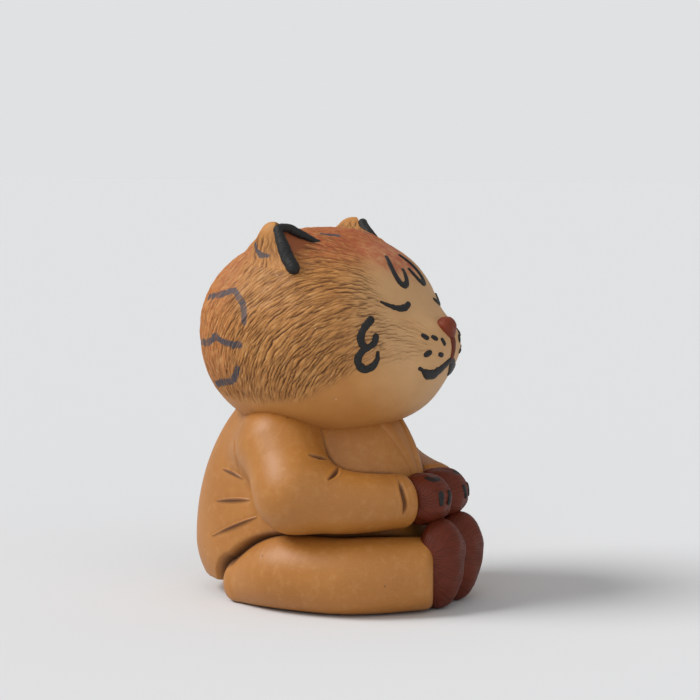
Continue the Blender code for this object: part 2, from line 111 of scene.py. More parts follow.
# Lapels and paws: paths by turn and tilt from the robe's and the hand's centre, on the left side
LAPEL_PATH = [(15.0, 61.0), (8.5, 50.0), (4.4, 40.0), (3.6, 33.0)]
LAPEL_HALF_WIDTH = 0.0014
LAPEL_HEIGHT = 0.00068
LAPEL_SINK = 0.0002
PAW_GAP = 0.00012
PAW_RIB_DEPTH = 0.00010
PAW_LUMPS = 0.00012
HAND_MARKS = [[(50.0, 57.0), (34.0, 50.0), (6.0, 52.0)]]
CLAW_PATHS = {
    "inner": [(-5.0, 14.0), (-2.0, 4.0), (2.0, -5.0)],
    "outer": [(27.0, 15.0), (27.5, 6.0), (27.5, -4.0)],
}
CLAW_HALF_WIDTH = 0.00062
CLAW_HEIGHT = 0.00026

# Lines pressed into the robe with a tool: points on the left side, and half widths
ROBE_CUTS = [
    ([(0.0123, 0.0171, 0.0242), (0.0139, 0.0140, 0.0238), (0.0153, 0.0112, 0.0231)], 0.00038),
    ([(0.0133, 0.0178, 0.0183), (0.0151, 0.0134, 0.0190), (0.0161, 0.0095, 0.0195)], 0.00042),
    ([(0.0135, 0.0186, 0.0117), (0.0159, 0.0126, 0.0144), (0.0168, 0.0077, 0.0165)], 0.00042),
]
PLEAT = ([(0.0155, 0.0127, 0.0303), (0.0165, 0.0120, 0.0277), (0.0148, 0.0121, 0.0238)], 0.0011)
SLEEVE_CUTS = [
    ([
        (0.0092, -0.0168, 0.0249), (0.0117, -0.0193, 0.0227),
        (0.0121, -0.0201, 0.0201), (0.0121, -0.0197, 0.0182),
    ], 0.00056),
    ([(0.0197, -0.0047, 0.0291), (0.0179, -0.0059, 0.0285), (0.0150, -0.0063, 0.0277)], 0.00050),
    ([(0.0149, -0.0081, 0.0265), (0.0180, -0.0091, 0.0259), (0.0203, -0.0088, 0.0250)], 0.00050),
]


# Finishes

# Colours as seen on screen, 0 to 255: clays in two shades, what lies in or on them, and painted
# highlight, sheen and shade
TAN = (198, 140, 76), (174, 114, 54)
PALE = (206, 164, 116), (190, 144, 96)
ORANGE = (208, 130, 72), (186, 104, 50)
RED = (182, 94, 56), (156, 72, 40)
EAR_RED = (166, 96, 56), (136, 72, 40)
# Painted highlight on the raised fur wrinkles, and painted shade in the low ones between them
HAIR_HIGHLIGHT = (222, 172, 112)
HAIR_SHADE = (110, 64, 28)
FUR_SHADE = (72, 37, 14)
# Black slip of the stripes, lightened to a bluish grey that is partly painted sheen
STRIPE_SLIP_AND_SHEEN = (66, 68, 78)
HEAD_GRIT = (224, 194, 156)
OCHRE = (182, 120, 50), (158, 99, 36)
OCHRE_BLOT = (190, 135, 76)
LIGHT_SAND = (214, 170, 112)
DARK_SAND = (126, 80, 34)
CREASE_SHADE = (82, 46, 18)
PORE_SHADE = (44, 24, 12)
PAW_RED = (112, 46, 22), (84, 31, 14)
NOSE_RED = (136, 60, 32), (106, 42, 22)
PAW_SHADE = (46, 19, 13)
PAW_SLIP = (26, 24, 24)
PAW_GRIT = (150, 90, 68)
BLACK = (24, 23, 24), (42, 40, 39)
BLACK_GRIT = (98, 94, 90)
PIT_SHADE = (16, 15, 16)
FLOOR_GREY = (220, 221, 222)
BACKDROP_GREY = (224, 225, 226)


class Value:
    """A shader value; arithmetic on it adds Math nodes to its tree."""

    def __init__(self, nodes, socket):
        self.nodes = nodes
        self.socket = socket

    def __add__(self, other):
        return self.nodes.maths("ADD", self, other)

    def __radd__(self, other):
        return self.nodes.maths("ADD", other, self)

    def __sub__(self, other):
        return self.nodes.maths("SUBTRACT", self, other)

    def __rsub__(self, other):
        return self.nodes.maths("SUBTRACT", other, self)

    def __mul__(self, other):
        return self.nodes.maths("MULTIPLY", self, other)

    def __rmul__(self, other):
        return self.nodes.maths("MULTIPLY", other, self)

    def __lt__(self, other):
        return self.nodes.maths("LESS_THAN", self, other)

    def __gt__(self, other):
        return self.nodes.maths("GREATER_THAN", self, other)


class Nodes:
    """A shader's tree, to which nodes are added by kind."""

    def __init__(self, tree):
        self.tree = tree

    def plug(self, socket, value):
        if isinstance(value, Value):
            self.tree.links.new(value.socket, socket)
        else:
            socket.default_value = value

    def node(self, kind, settings=None, inputs=None, output=0):
        made = self.tree.nodes.new(kind)
        for name, value in (settings or {}).items():
            setattr(made, name, value)
        for name, value in (inputs or {}).items():
            self.plug(made.inputs[name], value)
        return Value(self, made.outputs[output])

    def maths(self, operation, *values):
        return self.node("ShaderNodeMath", {"operation": operation}, dict(enumerate(values)))


class Finish(Nodes):
    """A finish: one material and the nodes of its look."""

    def __init__(self, name):
        self.material = bpy.data.materials.new(name)
        self.material.use_nodes = True
        super().__init__(self.material.node_tree)
        self.shader = self.tree.nodes["Principled BSDF"]

    def mix(self, share, *colours):
        """Colour between two colours, on screen or in the shader; share 0 gives the first."""
        first, second = (colour if isinstance(colour, Value) else paint(colour) for colour in colours)
        return self.node("ShaderNodeMix", {"data_type": "RGBA"}, {0: share, 6: first, 7: second}, 2)

    def coats(self, colour, *coats):
        """A colour with others laid over it in turn, each by its share."""
        for share, coat in coats:
            colour = self.mix(share, colour, coat)
        return colour

    def ramp(self, value, low, high):
        """0 at low, 1 at high, smooth in between; low may be the greater."""
        settings = {"interpolation_type": "SMOOTHSTEP"}
        return self.node("ShaderNodeMapRange", settings, {0: value, 1: low, 2: high})

    def places(self):
        return self.node("ShaderNodeTexCoord", output="Object")

    def noise(self, size, detail=2.0, rough=0.5, places=None):
        """Cloudy noise from 0 to 1 whose blots are about size metres across."""
        places = places or self.places()
        inputs = {"Vector": places, "Scale": 1.0 / size, "Detail": detail, "Roughness": rough}
        return self.node("ShaderNodeTexNoise", None, inputs)

    def specks(self, size, share, radius):
        """1 on small round specks: one cell of that size in 1/share holds a speck."""
        inputs = {"Vector": self.places(), "Scale": 1.0 / size}
        gap = self.node("ShaderNodeTexVoronoi", None, inputs, "Distance")
        tint = self.node("ShaderNodeTexVoronoi", None, inputs, "Color")
        pick = self.node("ShaderNodeSeparateColor", None, {0: tint})
        return (pick < share) * (1.0 - self.ramp(gap, radius * 0.6, radius))

    def layer(self, name, output="Fac"):
        """A measure stored on the mesh's vertices."""
        return self.node("ShaderNodeAttribute", {"attribute_name": name}, None, output)

    def strands(self, size, shorter=1.0):
        """Cloudy noise drawn out into hairs that follow the combing, that many times shorter."""
        squeezed = {0: self.layer("flow", "Vector"), 1: (1.0, 1.0, shorter)}
        flow = self.node("ShaderNodeVectorMath", {"operation": "MULTIPLY"}, squeezed)
        return self.noise(size, 3.0, places=flow)

    def relief(self, height, step):
        """Fine unevenness, where a height of 1 stands for one step."""
        bump = self.node("ShaderNodeBump", None, {"Height": height, "Distance": step, "Strength": 1.0})
        self.plug(self.shader.inputs["Normal"], bump)

    def surface(self, colour, roughness, shine=0.5):
        inputs = {"Base Color": colour, "Roughness": roughness, "Specular IOR Level": shine}
        for name, value in inputs.items():
            self.plug(self.shader.inputs[name], value)
        return self.material


def paint(colour):
    """A colour as seen on screen, 0 to 255, in the shader's linear scale."""
    linear = []
    for part in colour:
        share = part / 255
        linear.append(share / 12.92 if share <= 0.04045 else ((share + 0.055) / 1.055) ** 2.4)
    return (*linear, 1.0)


def clay_grain(finish):
    """Fine sandy grain of fired clay, 0 to 1."""
    return finish.noise(0.30 * MM, 3.0, 0.6) * 0.6 + finish.noise(1.2 * MM) * 0.4


def head_clay():
    finish = Finish("head_clay")
    grain = clay_grain(finish)
    cloud = finish.noise(5.0 * MM, 3.0)
    blot = finish.noise(1.5 * MM, 4.0, 0.65)
    strands = finish.strands(0.34 * MM)
    wrinkles = finish.strands(0.46 * MM, 2.4)
    hairy = finish.layer("hairy")
    groove = finish.layer("groove")
    ragged = finish.layer("stripe") + (finish.noise(0.8 * MM, 3.0) - 0.5) * 0.0008
    stripe = 1.0 - finish.ramp(ragged, -0.00012, 0.00012)
    streaky = (0.58 + 0.45 * finish.ramp(strands, 0.25, 0.6)) * (1.0 - 0.4 * groove)
    colour = finish.coats(
        finish.mix(cloud, *TAN),
        (finish.layer("pale"), finish.mix(cloud, *PALE)),
        (finish.layer("orange") * finish.ramp(blot, 0.15, 0.75), finish.mix(blot, *ORANGE)),
        (finish.layer("red") * finish.ramp(blot, 0.1, 0.7), finish.mix(blot, *RED)),
        (finish.layer("inside"), finish.mix(cloud, *EAR_RED)),
        # Painted highlight on raised fur wrinkles and painted shade in the low ones, following the
        # bump relief
        (hairy * finish.ramp(wrinkles, 0.52, 0.70) * 0.45, HAIR_HIGHLIGHT),
        (hairy * finish.ramp(wrinkles, 0.47, 0.34) * 0.45, HAIR_SHADE),
        (groove * (0.75 + 0.5 * blot), FUR_SHADE),
        # Black slip stripes in a bluish grey that is partly painted sheen
        (stripe * streaky, STRIPE_SLIP_AND_SHEEN),
        (finish.specks(1.3 * MM, 0.05, 0.10), HEAD_GRIT),
    )
    finish.relief(grain + hairy * (1.2 * strands + 3.0 * wrinkles), 0.05 * MM)
    return finish.surface(colour, 0.48 + 0.14 * grain + 0.1 * groove, 0.35)


def robe_clay():
    finish = Finish("robe_clay")
    grain = clay_grain(finish)
    cloud = finish.noise(9.0 * MM, 3.0)
    blot = finish.noise(1.8 * MM, 4.0, 0.6)
    sand = finish.noise(0.16 * MM, 2.0, 0.6)
    pore = finish.specks(3.0 * MM, 0.16, 0.05)
    crease = finish.layer("crease")
    colour = finish.coats(
        finish.mix(cloud, *OCHRE),
        (finish.ramp(blot, 0.45, 0.8) * 0.5, OCHRE_BLOT),
        (finish.ramp(sand, 0.60, 0.78) * 0.45, LIGHT_SAND),
        (finish.ramp(sand, 0.42, 0.24) * 0.35, DARK_SAND),
        (crease * 0.85, CREASE_SHADE),
        (pore, PORE_SHADE),
    )
    finish.relief(grain + 0.5 * sand - 1.5 * pore, 0.035 * MM)
    return finish.surface(colour, 0.34 + 0.16 * grain + 0.12 * blot + 0.2 * crease)


def paw_clay(name, shades):
    finish = Finish(name)
    grain = clay_grain(finish)
    cloud = finish.noise(2.6 * MM, 4.0, 0.6)
    groove = finish.layer("groove")
    colour = finish.coats(
        finish.mix(cloud, *shades),
        (groove * 0.45, PAW_SHADE),
        (finish.layer("mark") * (0.75 + 0.4 * cloud), PAW_SLIP),
        (finish.specks(1.1 * MM, 0.08, 0.09), PAW_GRIT),
    )
    finish.relief(grain, 0.045 * MM)
    return finish.surface(colour, 0.40 + 0.18 * grain + 0.1 * groove, 0.25)


def black_clay():
    finish = Finish("black_clay")
    grain = finish.noise(0.22 * MM, 3.0, 0.7)
    cloud = finish.noise(1.2 * MM, 3.0)
    pit = finish.specks(0.55 * MM, 0.5, 0.32)
    colour = finish.coats(
        finish.mix(cloud, *BLACK),
        (finish.ramp(grain, 0.6, 0.85) * 0.6, BLACK_GRIT),
        (pit * 0.7, PIT_SHADE),
    )
    finish.relief(grain - 0.8 * pit, 0.07 * MM)
    return finish.surface(colour, 0.42 + 0.3 * grain, 0.3)


# Forms


def unit(vectors):
    return vectors / np.maximum(np.linalg.norm(vectors, axis=-1, keepdims=True), 1e-12)


def direction(turn, tilt, side=1.0):
    """Unit direction: turn in degrees from straight ahead towards the side, tilt upwards."""
    turn = np.radians(turn)
    tilt = np.radians(tilt)
    flat = np.cos(tilt)
    return np.stack((side * np.sin(turn) * flat, -np.cos(turn) * flat, np.sin(tilt)), axis=-1)


def angles_of(ways):
    """Turn, signed towards the left, and tilt of directions, in degrees."""
    turn = np.degrees(np.arctan2(ways[..., 0], -ways[..., 1]))
    tilt = np.degrees(np.arcsin(np.clip(ways[..., 2], -1.0, 1.0)))
    return turn, tilt


def smooth(value, low, high):
    """0 below low, 1 above high, smooth in between."""
    share = np.clip((value - low) / (high - low), 0.0, 1.0)
    return share * share * (3 - 2 * share)


def full_ball(ways, width, front, back, rise, drop, fullness):
    """Distance from the centre to the skin of a full ball along unit directions."""
    x, y, z = np.moveaxis(np.abs(ways), -1, 0)
    depth = np.where(ways[..., 1] < 0, front, back)
    height = np.where(ways[..., 2] > 0, rise, drop)
    total = (x * 2 / width) ** fullness + (y / depth) ** fullness + (z / height) ** fullness
    return total ** (-1.0 / fullness)


def swelling(turn, tilt, spread_side, spread_up):
    """Height, 0 to 1, of a round swelling at an angle from its middle."""
    return np.exp(-((turn / spread_side) ** 2) - (tilt / spread_up) ** 2)


def head_radius(ways):
    radius = full_ball(ways, *HEAD_FORM)
    turn, tilt = angles_of(ways)
    pad_up = np.where(tilt > PAD_TILT, PAD_SPREAD_UP, PAD_SPREAD_DOWN)
    for side in SIDES.values():
        pad_turn = turn - side * PAD_TURN
        radius = radius + PAD_HEIGHT * swelling(pad_turn, tilt - PAD_TILT, PAD_SPREAD, pad_up)
    radius = radius + CHIN_HEIGHT * swelling(turn, tilt - CHIN_TILT, CHIN_SPREAD, CHIN_SPREAD_UP)
    return radius + CROWN_RISE * smooth(ways[..., 2], CROWN_FROM, CROWN_FULL)


def head_place(turn, tilt, side=1.0):
    ways = direction(np.asarray(turn, float), np.asarray(tilt, float), side)
    return HEAD_CENTRE + ways * head_radius(ways)[..., None]


def head_normal(turn, tilt, side=1.0, step=0.5):
    """Outward direction of the head's skin."""
    turn = np.asarray(turn, float)
    tilt = np.asarray(tilt, float)
    aside = head_place(turn + step, tilt, side) - head_place(turn - step, tilt, side)
    upward = head_place(turn, tilt + step, side) - head_place(turn, tilt - step, side)
    normal = unit(np.cross(aside, upward))
    outward = direction(turn, tilt, side)
    return normal * np.sign((normal * outward).sum(-1, keepdims=True))


def robe_radius(ways):
    turn, tilt = angles_of(ways)
    filling = CHEST_FILL * swelling(turn, tilt - CHEST_TILT, CHEST_SPREAD, CHEST_SPREAD_UP)
    return full_ball(ways, *ROBE_FORM) + filling


def ball_gap(places, centre, radius):
    """Rough distance outside a ball, from its radius along directions from the centre."""
    away = places - centre
    length = np.linalg.norm(away, axis=-1)
    return length - radius(away / length[..., None])


def head_gap(places):
    return ball_gap(places, HEAD_CENTRE, head_radius)


def robe_gap(places):
    return ball_gap(places, ROBE_CENTRE, robe_radius)


def curve(knots, share):
    """Points and onward steps on the smooth curve through the knots: share 1.5 lies between
    the second knot and the third."""
    knots = np.asarray(knots, float)
    padded = np.vstack((2 * knots[0] - knots[1], knots, 2 * knots[-1] - knots[-2]))
    span = np.clip(share.astype(int), 0, len(knots) - 2)
    t = (share - span)[:, None]
    before, start, end, after = (padded[span + step] for step in range(4))
    point = before * (2 * t**2 - t**3 - t) + start * (3 * t**3 - 5 * t**2 + 2)
    point = point + end * (4 * t**2 - 3 * t**3 + t) + after * (t**3 - t**2)
    onward = before * (4 * t - 3 * t**2 - 1) + start * (9 * t**2 - 10 * t)
    onward = onward + end * (8 * t - 9 * t**2 + 1) + after * (3 * t**2 - 2 * t)
    return point / 2, onward / 2


def spline(knots, count):
    """Points along the smooth curve through the knots, evenly spread from first to last."""
    return curve(knots, np.linspace(0.0, len(knots) - 1, count))[0]


def line_gap(places, line, radii=None):
    """Distance from places to a line of points, less the line's radius there."""
    best = np.full(len(places), 1.0)
    radii = np.zeros(len(line)) if radii is None else np.asarray(radii, float)
    for start, end, first, last in zip(line[:-1], line[1:], radii[:-1], radii[1:]):
        run = end - start
        share = np.clip((places - start) @ run / (run @ run), 0.0, 1.0)
        away = np.linalg.norm(places - start - share[:, None] * run, axis=1)
        best = np.minimum(best, away - first - share * (last - first))
    return best


def limb_gap(points, radii):
    """Distance outside a bent limb whose centre line and radius run smoothly through the points."""
    knots = np.column_stack((points, radii))
    last = len(knots) - 1.0
    stations = np.linspace(0.0, last, 4 * len(knots))
    rough = curve(knots, stations)[0][:, :3]

    def gap(places):
        away = ((places[:, None, :] - rough) ** 2).sum(2)
        share = stations[away.argmin(1)]
        for _ in range(3):
            here, onward = curve(knots, share)
            step = ((places - here[:, :3]) * onward[:, :3]).sum(1) / (onward[:, :3] ** 2).sum(1)
            share = np.clip(share + step, 0.0, last)
        here = curve(knots, share)[0]
        return np.linalg.norm(places - here[:, :3], axis=1) - here[:, 3]

    return gap


def joined(first, second, width):
    """Rough distance outside two forms whose meeting is filled to that width."""
    fill = np.maximum(width - np.abs(first - second), 0.0)
    return np.minimum(first, second) - fill * fill / (4 * width)


def trimmed(first, second, width):
    """Rough distance outside what two forms share, with the edge rounded to that width."""
    return -joined(-first, -second, width)


def mirrored(points, side):
    """One or more points of the left side, taken to that side."""
    return np.asarray(points) * (side, 1.0, 1.0)


# Meshes


def get_places(bm):
    return np.array([vertex.co[:] for vertex in bm.verts])


def set_places(bm, places):
    for vertex, place in zip(bm.verts, places):
        vertex.co = place


def get_normals(bm):
    bm.normal_update()
    return np.array([vertex.normal[:] for vertex in bm.verts])


class BallGrid:
    """A sheet rolled up and drawn together at both ends: rings of vertices between two poles."""

    def __init__(self, columns, rows):
        self.bm = bmesh.new()
        bmesh.ops.create_grid(self.bm, x_segments=columns, y_segments=rows, size=0.5)
        first = {}
        merged = {}
        for vertex in self.bm.verts:
            row = round((vertex.co.y + 0.5) * rows)
            column = round((vertex.co.x + 0.5) * columns) % columns
            cell = (row, 0) if row in (0, rows) else (row, column)
            if cell in first:
                merged[vertex] = first[cell]
            else:
                first[cell] = vertex
        bmesh.ops.weld_verts(self.bm, targetmap=merged)
        corners = get_places(self.bm) + 0.5
        row = np.rint(corners[:, 1] * rows).astype(int)
        column = np.rint(corners[:, 0] * columns).astype(int)
        self.share = row / rows
        self.angle = column / columns * 2 * math.pi
        self.order = np.zeros((rows - 1, columns), int)
        ring = (row > 0) & (row < rows)
        self.order[row[ring] - 1, column[ring]] = np.flatnonzero(ring)

    def ways(self):
        """Directions from the middle to the vertices, with one pole on top."""
        return direction(np.degrees(self.angle), 90.0 - 180.0 * self.share)

    def spread(self, rings):
        """Values on the rings in the order of the vertices, with zero at both poles."""
        values = np.zeros((len(self.share), *rings.shape[2:]))
        values[self.order] = rings
        return values

    def piece(self, name, places, layers=None):
        set_places(self.bm, places)
        return finished(name, self.bm, layers)


def closed_off(name, bm):
    """The mesh made of a working mesh, which is then let go."""
    mesh = bpy.data.meshes.new(name)
    bm.to_mesh(mesh)
    bm.free()
    return mesh


def shown(name, data):
    """A new item in the scene."""
    item = bpy.data.objects.new(name, data)
    bpy.context.scene.collection.objects.link(item)
    return item


def finished(name, bm, layers=None):
    """A piece that rides on the figure, from a working mesh and measures on its vertices."""
    bmesh.ops.recalc_face_normals(bm, faces=bm.faces)
    mesh = closed_off(name, bm)
    mesh.shade_smooth()
    for layer, values in (layers or {}).items():
        values = np.asarray(values, np.float32)
        kind, part = ("FLOAT", "value") if values.ndim == 1 else ("FLOAT_VECTOR", "vector")
        mesh.attributes.new(layer, kind, "POINT").data.foreach_set(part, values.ravel())
    item = shown(name, mesh)
    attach(item, "root")
    return item


def dress(item, finish, *nodes):
    """Give a piece its finish's material, and hide the imported parts of the nodes that it stands for.
    """
    material, slot = finish
    item.data.materials.clear()
    item.data.materials.append(material)
    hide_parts(*nodes)


def make_pair(name, node, bm, layers, finish):
    """A piece on the right side, from a working mesh, and its mirror image on the left."""
    item = finished("right_" + name, bm, layers)
    mesh = item.data.copy()
    mesh.name = "left_" + name
    mesh.transform(Matrix.Diagonal((-1.0, 1.0, 1.0, 1.0)))
    mesh.flip_normals()
    twin = shown("left_" + name, mesh)
    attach(twin, "root")
    dress(item, finish, "right_" + node)
    dress(twin, finish, "left_" + node)


def joined_up(parts):
    """One working mesh from several grids and the places of their vertices."""
    whole = bmesh.new()
    for grid, places in parts:
        set_places(grid.bm, places)
        mesh = closed_off("part", grid.bm)
        whole.from_mesh(mesh)
        bpy.data.meshes.remove(mesh)
    return whole


def reach_along(places):
    """Length along a line of places, or along every column of rings, from the first."""
    steps = np.linalg.norm(np.diff(places, axis=0), axis=-1)
    return np.concatenate((np.zeros((1, *steps.shape[1:])), np.cumsum(steps, axis=0)))


def stroke_table(random, number, run, knots=64):
    """Smoothly changing random numbers, 0 to 1, along each numbered stroke line."""
    table = random.random((number.max() + 1, knots))
    run = run + knots * random.random(number.max() + 1)[number]
    knot = np.floor(run).astype(int)
    share = smooth(run - knot, 0.0, 1.0)
    return table[number, knot % knots] * (1 - share) + table[number, (knot + 1) % knots] * share


def combed(places, pitch, length, wander, seed):
    """Hollows, 0 to 1, of wavy combed lines that run from ring to ring, about a pitch apart."""
    rows, columns = places.shape[:2]
    across = np.linalg.norm(np.roll(places, -1, axis=1) - places, axis=2)
    wanted = np.log2(np.clip(across * columns / pitch, 6.0, columns / 3))
    reach = reach_along(places) / length
    sway = wander * (ripple(places, 0.0050, seed) + 0.55 * ripple(places, 0.0019, seed + 1))
    column = np.broadcast_to(np.arange(columns) / columns, (rows, columns))
    total = np.zeros((rows, columns))
    for power in range(int(wanted.min()), int(wanted.max()) + 2):
        random = np.random.default_rng(seed + power)
        weight = smooth(1 - np.abs(wanted - power), 0.25, 0.75)
        lane = column * 2**power + sway
        number = np.floor(lane).astype(int) % 2**power
        middle = 0.5 + 0.44 * (stroke_table(random, number, reach * 1.7) - 0.5)
        strength = smooth(stroke_table(random, number, reach), 0.12, 0.60)
        hollow = np.clip(1 - np.abs(lane - np.floor(lane) - middle) / 0.27, 0.0, 1.0)
        total = total + weight * hollow * (0.12 + 0.88 * strength)
    return total


def ripple(places, size, seed, waves=7):
    """Gentle random unevenness from about -1 to 1, with bumps of about that size."""
    random = np.random.default_rng(seed)
    total = np.zeros(places.shape[:-1])
    for _ in range(waves):
        wave = unit(random.normal(size=3)) * random.uniform(0.7, 1.4) * 2 * math.pi / size
        total = total + np.sin(places @ wave + random.uniform(0, 2 * math.pi))
    return total / (waves / 2)


def grid_normals(places):
    """Outward directions of rings of places round their own middle."""
    aside = np.roll(places, -1, axis=1) - np.roll(places, 1, axis=1)
    onward = np.gradient(places, axis=0)
    normal = unit(np.cross(onward, aside))
    outward = places - places.mean(axis=(0, 1))
    return normal * np.sign((normal * outward).sum())


def tube(line, normals, half_width, half_height, columns, rows):
    """Grid and places of a bead along a line, with domed ends, flattened along the normals."""
    grid = BallGrid(columns, rows)
    reach = reach_along(line)
    half_width = np.broadcast_to(half_width, len(line))
    half_height = np.broadcast_to(half_height, len(line))
    eased = 0.5 - 0.5 * np.cos(grid.share * math.pi)
    ends = half_width[0], half_width[-1]
    share = 0.5 * grid.share + 0.5 * eased
    station = share * (reach[-1] + sum(ends)) - ends[0]
    held = np.clip(station, 0.0, reach[-1])

    def along(values):
        values = np.asarray(values)
        return np.stack([np.interp(held, reach, values[:, axis]) for axis in range(3)], axis=1)

    tangent = unit(along(np.gradient(line, axis=0)))
    normal = along(normals)
    normal = unit(normal - tangent * (normal * tangent).sum(1, keepdims=True))
    aside = np.cross(tangent, normal)
    over = station - held
    width = np.interp(held, reach, half_width)
    height = np.interp(held, reach, half_height)
    round_off = np.sqrt(np.clip(1.0 - (over / width) ** 2, 0.0, 1.0))
    ring = aside * (width * np.cos(grid.angle) * round_off)[:, None]
    ring = ring + normal * (height * np.sin(grid.angle) * round_off)[:, None]
    places = along(line) + tangent * over[:, None] + ring
    return grid, places


# Head

FUR_SOURCE = direction(0.0, -17.0)
FUR_SINK = direction(0.0, -64.0)
HEAD_COLUMNS = 990
HEAD_ROWS = 100
FUR_PITCH = 0.00072
FUR_DEPTH = 0.00040
HEAD_LUMPS = 0.00008
STRIPE_HALF_WIDTH = 0.00066
NAPE_PATHS = {
    "upper": [
        (135.0, 16.0), (123.0, 17.7), (117.0, 19.2), (112.7, 20.6),
        (108.5, 18.4), (104.0, 15.0), (102.0, 11.0), (101.0, 7.0),
    ],
    "middle": [
        (143.0, -4.6), (129.0, -3.8), (122.1, -2.1), (119.4, -0.2),
        (114.1, -2.0), (108.9, -3.1), (103.5, -2.9),
    ],
    "lower": [(132.0, -23.7), (119.5, -21.2), (113.1, -20.1), (108.8, -17.1), (106.3, -13.3)],
}
CROWN_PATH = [(68.0, 63.6), (58.0, 64.4), (46.0, 65.0)]
# Turns, with the tilt of the fur's lower edge there and with how deep the comb went
FUR_EDGE = [(20.0, -9.0), (40.0, -10.5), (55.0, -16.0), (76.0, -28.0), (100.0, -31.0), (125.0, -29.0)]
FUR_FADE = [(10.0, 0.08), (22.0, 0.42), (34.0, 0.60), (48.0, 0.8), (62.0, 0.97), (76.0, 1.0)]
FLOW_GIRTH = 0.022
FLOW_STRETCH = 0.13
EAR_FILLET = 0.0048
EAR_FILLET_REACH = 0.015


def fur_ways(share, angle):
    """Directions from the head's centre on lines that leave the muzzle and gather under the jaw."""
    middle = unit(FUR_SOURCE + FUR_SINK)
    pole = unit(FUR_SOURCE - FUR_SINK)
    aside = np.cross(pole, middle)
    pull = np.linalg.norm(FUR_SOURCE + FUR_SINK) / 2
    squeeze = math.sqrt((1 + pull) / (1 - pull))

    def drawn(bend, angle):
        spread = 2 * np.arctan2(squeeze * np.sin(angle / 2), np.cos(angle / 2))
        ring = np.cos(spread)[:, None] * middle + np.sin(spread)[:, None] * aside
        ways = np.cos(bend)[:, None] * pole + np.sin(bend)[:, None] * ring
        ahead = ways @ middle
        flat = ways - ahead[:, None] * middle
        moved = flat * math.sqrt(1 - pull * pull) + (ahead + pull)[:, None] * middle
        return unit(moved)

    bends = np.linspace(0.0, math.pi, 2001)
    sample = drawn(bends, np.full_like(bends, math.radians(110.0)))
    reach = reach_along(sample)
    return drawn(np.interp(share * reach[-1], reach, bends), angle)


def head_stripes():
    """The middle lines of the black stripes on the nape and the crown."""
    paths = [*NAPE_PATHS.values(), CROWN_PATH]
    return [head_place(*spline(path, 40).T, side) for side in SIDES.values() for path in paths]


def fur_weight(turn, tilt):
    """How deep the comb went, 0 to 1: full on the sides and back, none on brow, eyes and chin."""
    low_edge = np.interp(turn, *zip(*FUR_EDGE))
    above = smooth(tilt, low_edge - 3.0, low_edge + 4.0)
    fade = np.interp(turn, *zip(*FUR_FADE))
    brow = (1 - smooth(turn, 27.0, 42.0)) * smooth(tilt, 4.0, 11.0) * (1 - smooth(tilt, 50.0, 66.0))
    crown = np.maximum(fade, 0.55 * smooth(tilt, 52.0, 70.0))
    return above * crown * (1 - brow)


def make_head():
    grid = BallGrid(HEAD_COLUMNS, HEAD_ROWS)
    ways = fur_ways(grid.share, grid.angle)
    skin = HEAD_CENTRE + ways * head_radius(ways)[:, None]
    turn, tilt = angles_of(ways)
    turn = np.abs(turn)
    from_face = np.degrees(np.arccos(np.clip(ways @ direction(0.0, 10.0), -1.0, 1.0)))
    fur = fur_weight(turn, tilt)
    rings = skin[grid.order]
    cut = combed(rings, FUR_PITCH, 0.0022, 0.56, 11)
    fine = combed(rings, FUR_PITCH * 0.6, 0.0017, 0.5, 15)
    cut = grid.spread(np.maximum(cut, 0.5 * fine)) * fur
    outward = grid.spread(grid_normals(rings))
    lumps = HEAD_LUMPS * ripple(skin, 0.0022, 3) * fur
    lift = lumps + ear_fillet(skin, outward) - FUR_DEPTH * cut
    stripe = np.min([line_gap(skin, line) for line in head_stripes()], axis=0)
    layers = {
        "groove": np.clip(cut * 1.15, 0.0, 1.0),
        "hairy": fur,
        "flow": flow_places(grid, skin),
        "stripe": np.clip(stripe - STRIPE_HALF_WIDTH, -0.005, 0.005),
        "red": crown_wash(turn, tilt),
        "orange": 0.9 * smooth(turn, 96.0, 128.0) * smooth(tilt, -34.0, -10.0),
        "pale": 1 - smooth(from_face, 30.0, 62.0),
    }
    item = grid.piece("head", skin + outward * lift[:, None], layers)
    nodes = ["head_shell"]
    for name in SIDES:
        nodes.append(name + "_crown_stripe")
        nodes.extend(name + "_nape_stripe_" + place for place in NAPE_PATHS)
    dress(item, head_finish, *nodes)


def flow_places(grid, places):
    """Places unrolled along the combing, stretched so that a cloudy noise turns into hairs."""
    reach = grid.spread(reach_along(places[grid.order]))
    around = FLOW_GIRTH * np.cos(grid.angle), FLOW_GIRTH * np.sin(grid.angle)
    return np.stack((*around, FLOW_STRETCH * reach), axis=1)


def crown_wash(turn, tilt):
    """How red the clay is, 0 to 1: on the crown and down the middle of the brow."""
    top = smooth(tilt, 28.0, 54.0)
    brow = smooth(tilt, 24.0, 38.0) * (1 - smooth(turn, 14.0, 32.0))
    return np.clip(top + 0.7 * brow, 0.0, 1.0) * (1 - 0.45 * smooth(turn, 96.0, 136.0))


def ear_fill(places):
    """Width of clay smoothed in round the ear's root, wider towards the crown."""
    return EAR_FILLET * (1.10 - 0.10 * smooth(np.abs(places[:, 0]), 0.0080, 0.0145))


def skin_gaps(tree, places, ways):
    """Distances from places to a piece's skin, less than zero inside the piece."""
    gaps = []
    for place, way in zip(map(Vector, places), map(Vector, ways)):
        gap = tree.find_nearest(place)[3]
        leaving = tree.ray_cast(place, way)[1]
        inside = leaving is not None and leaving.dot(way) > 0
        gaps.append(-gap if inside else gap)
    return np.array(gaps)


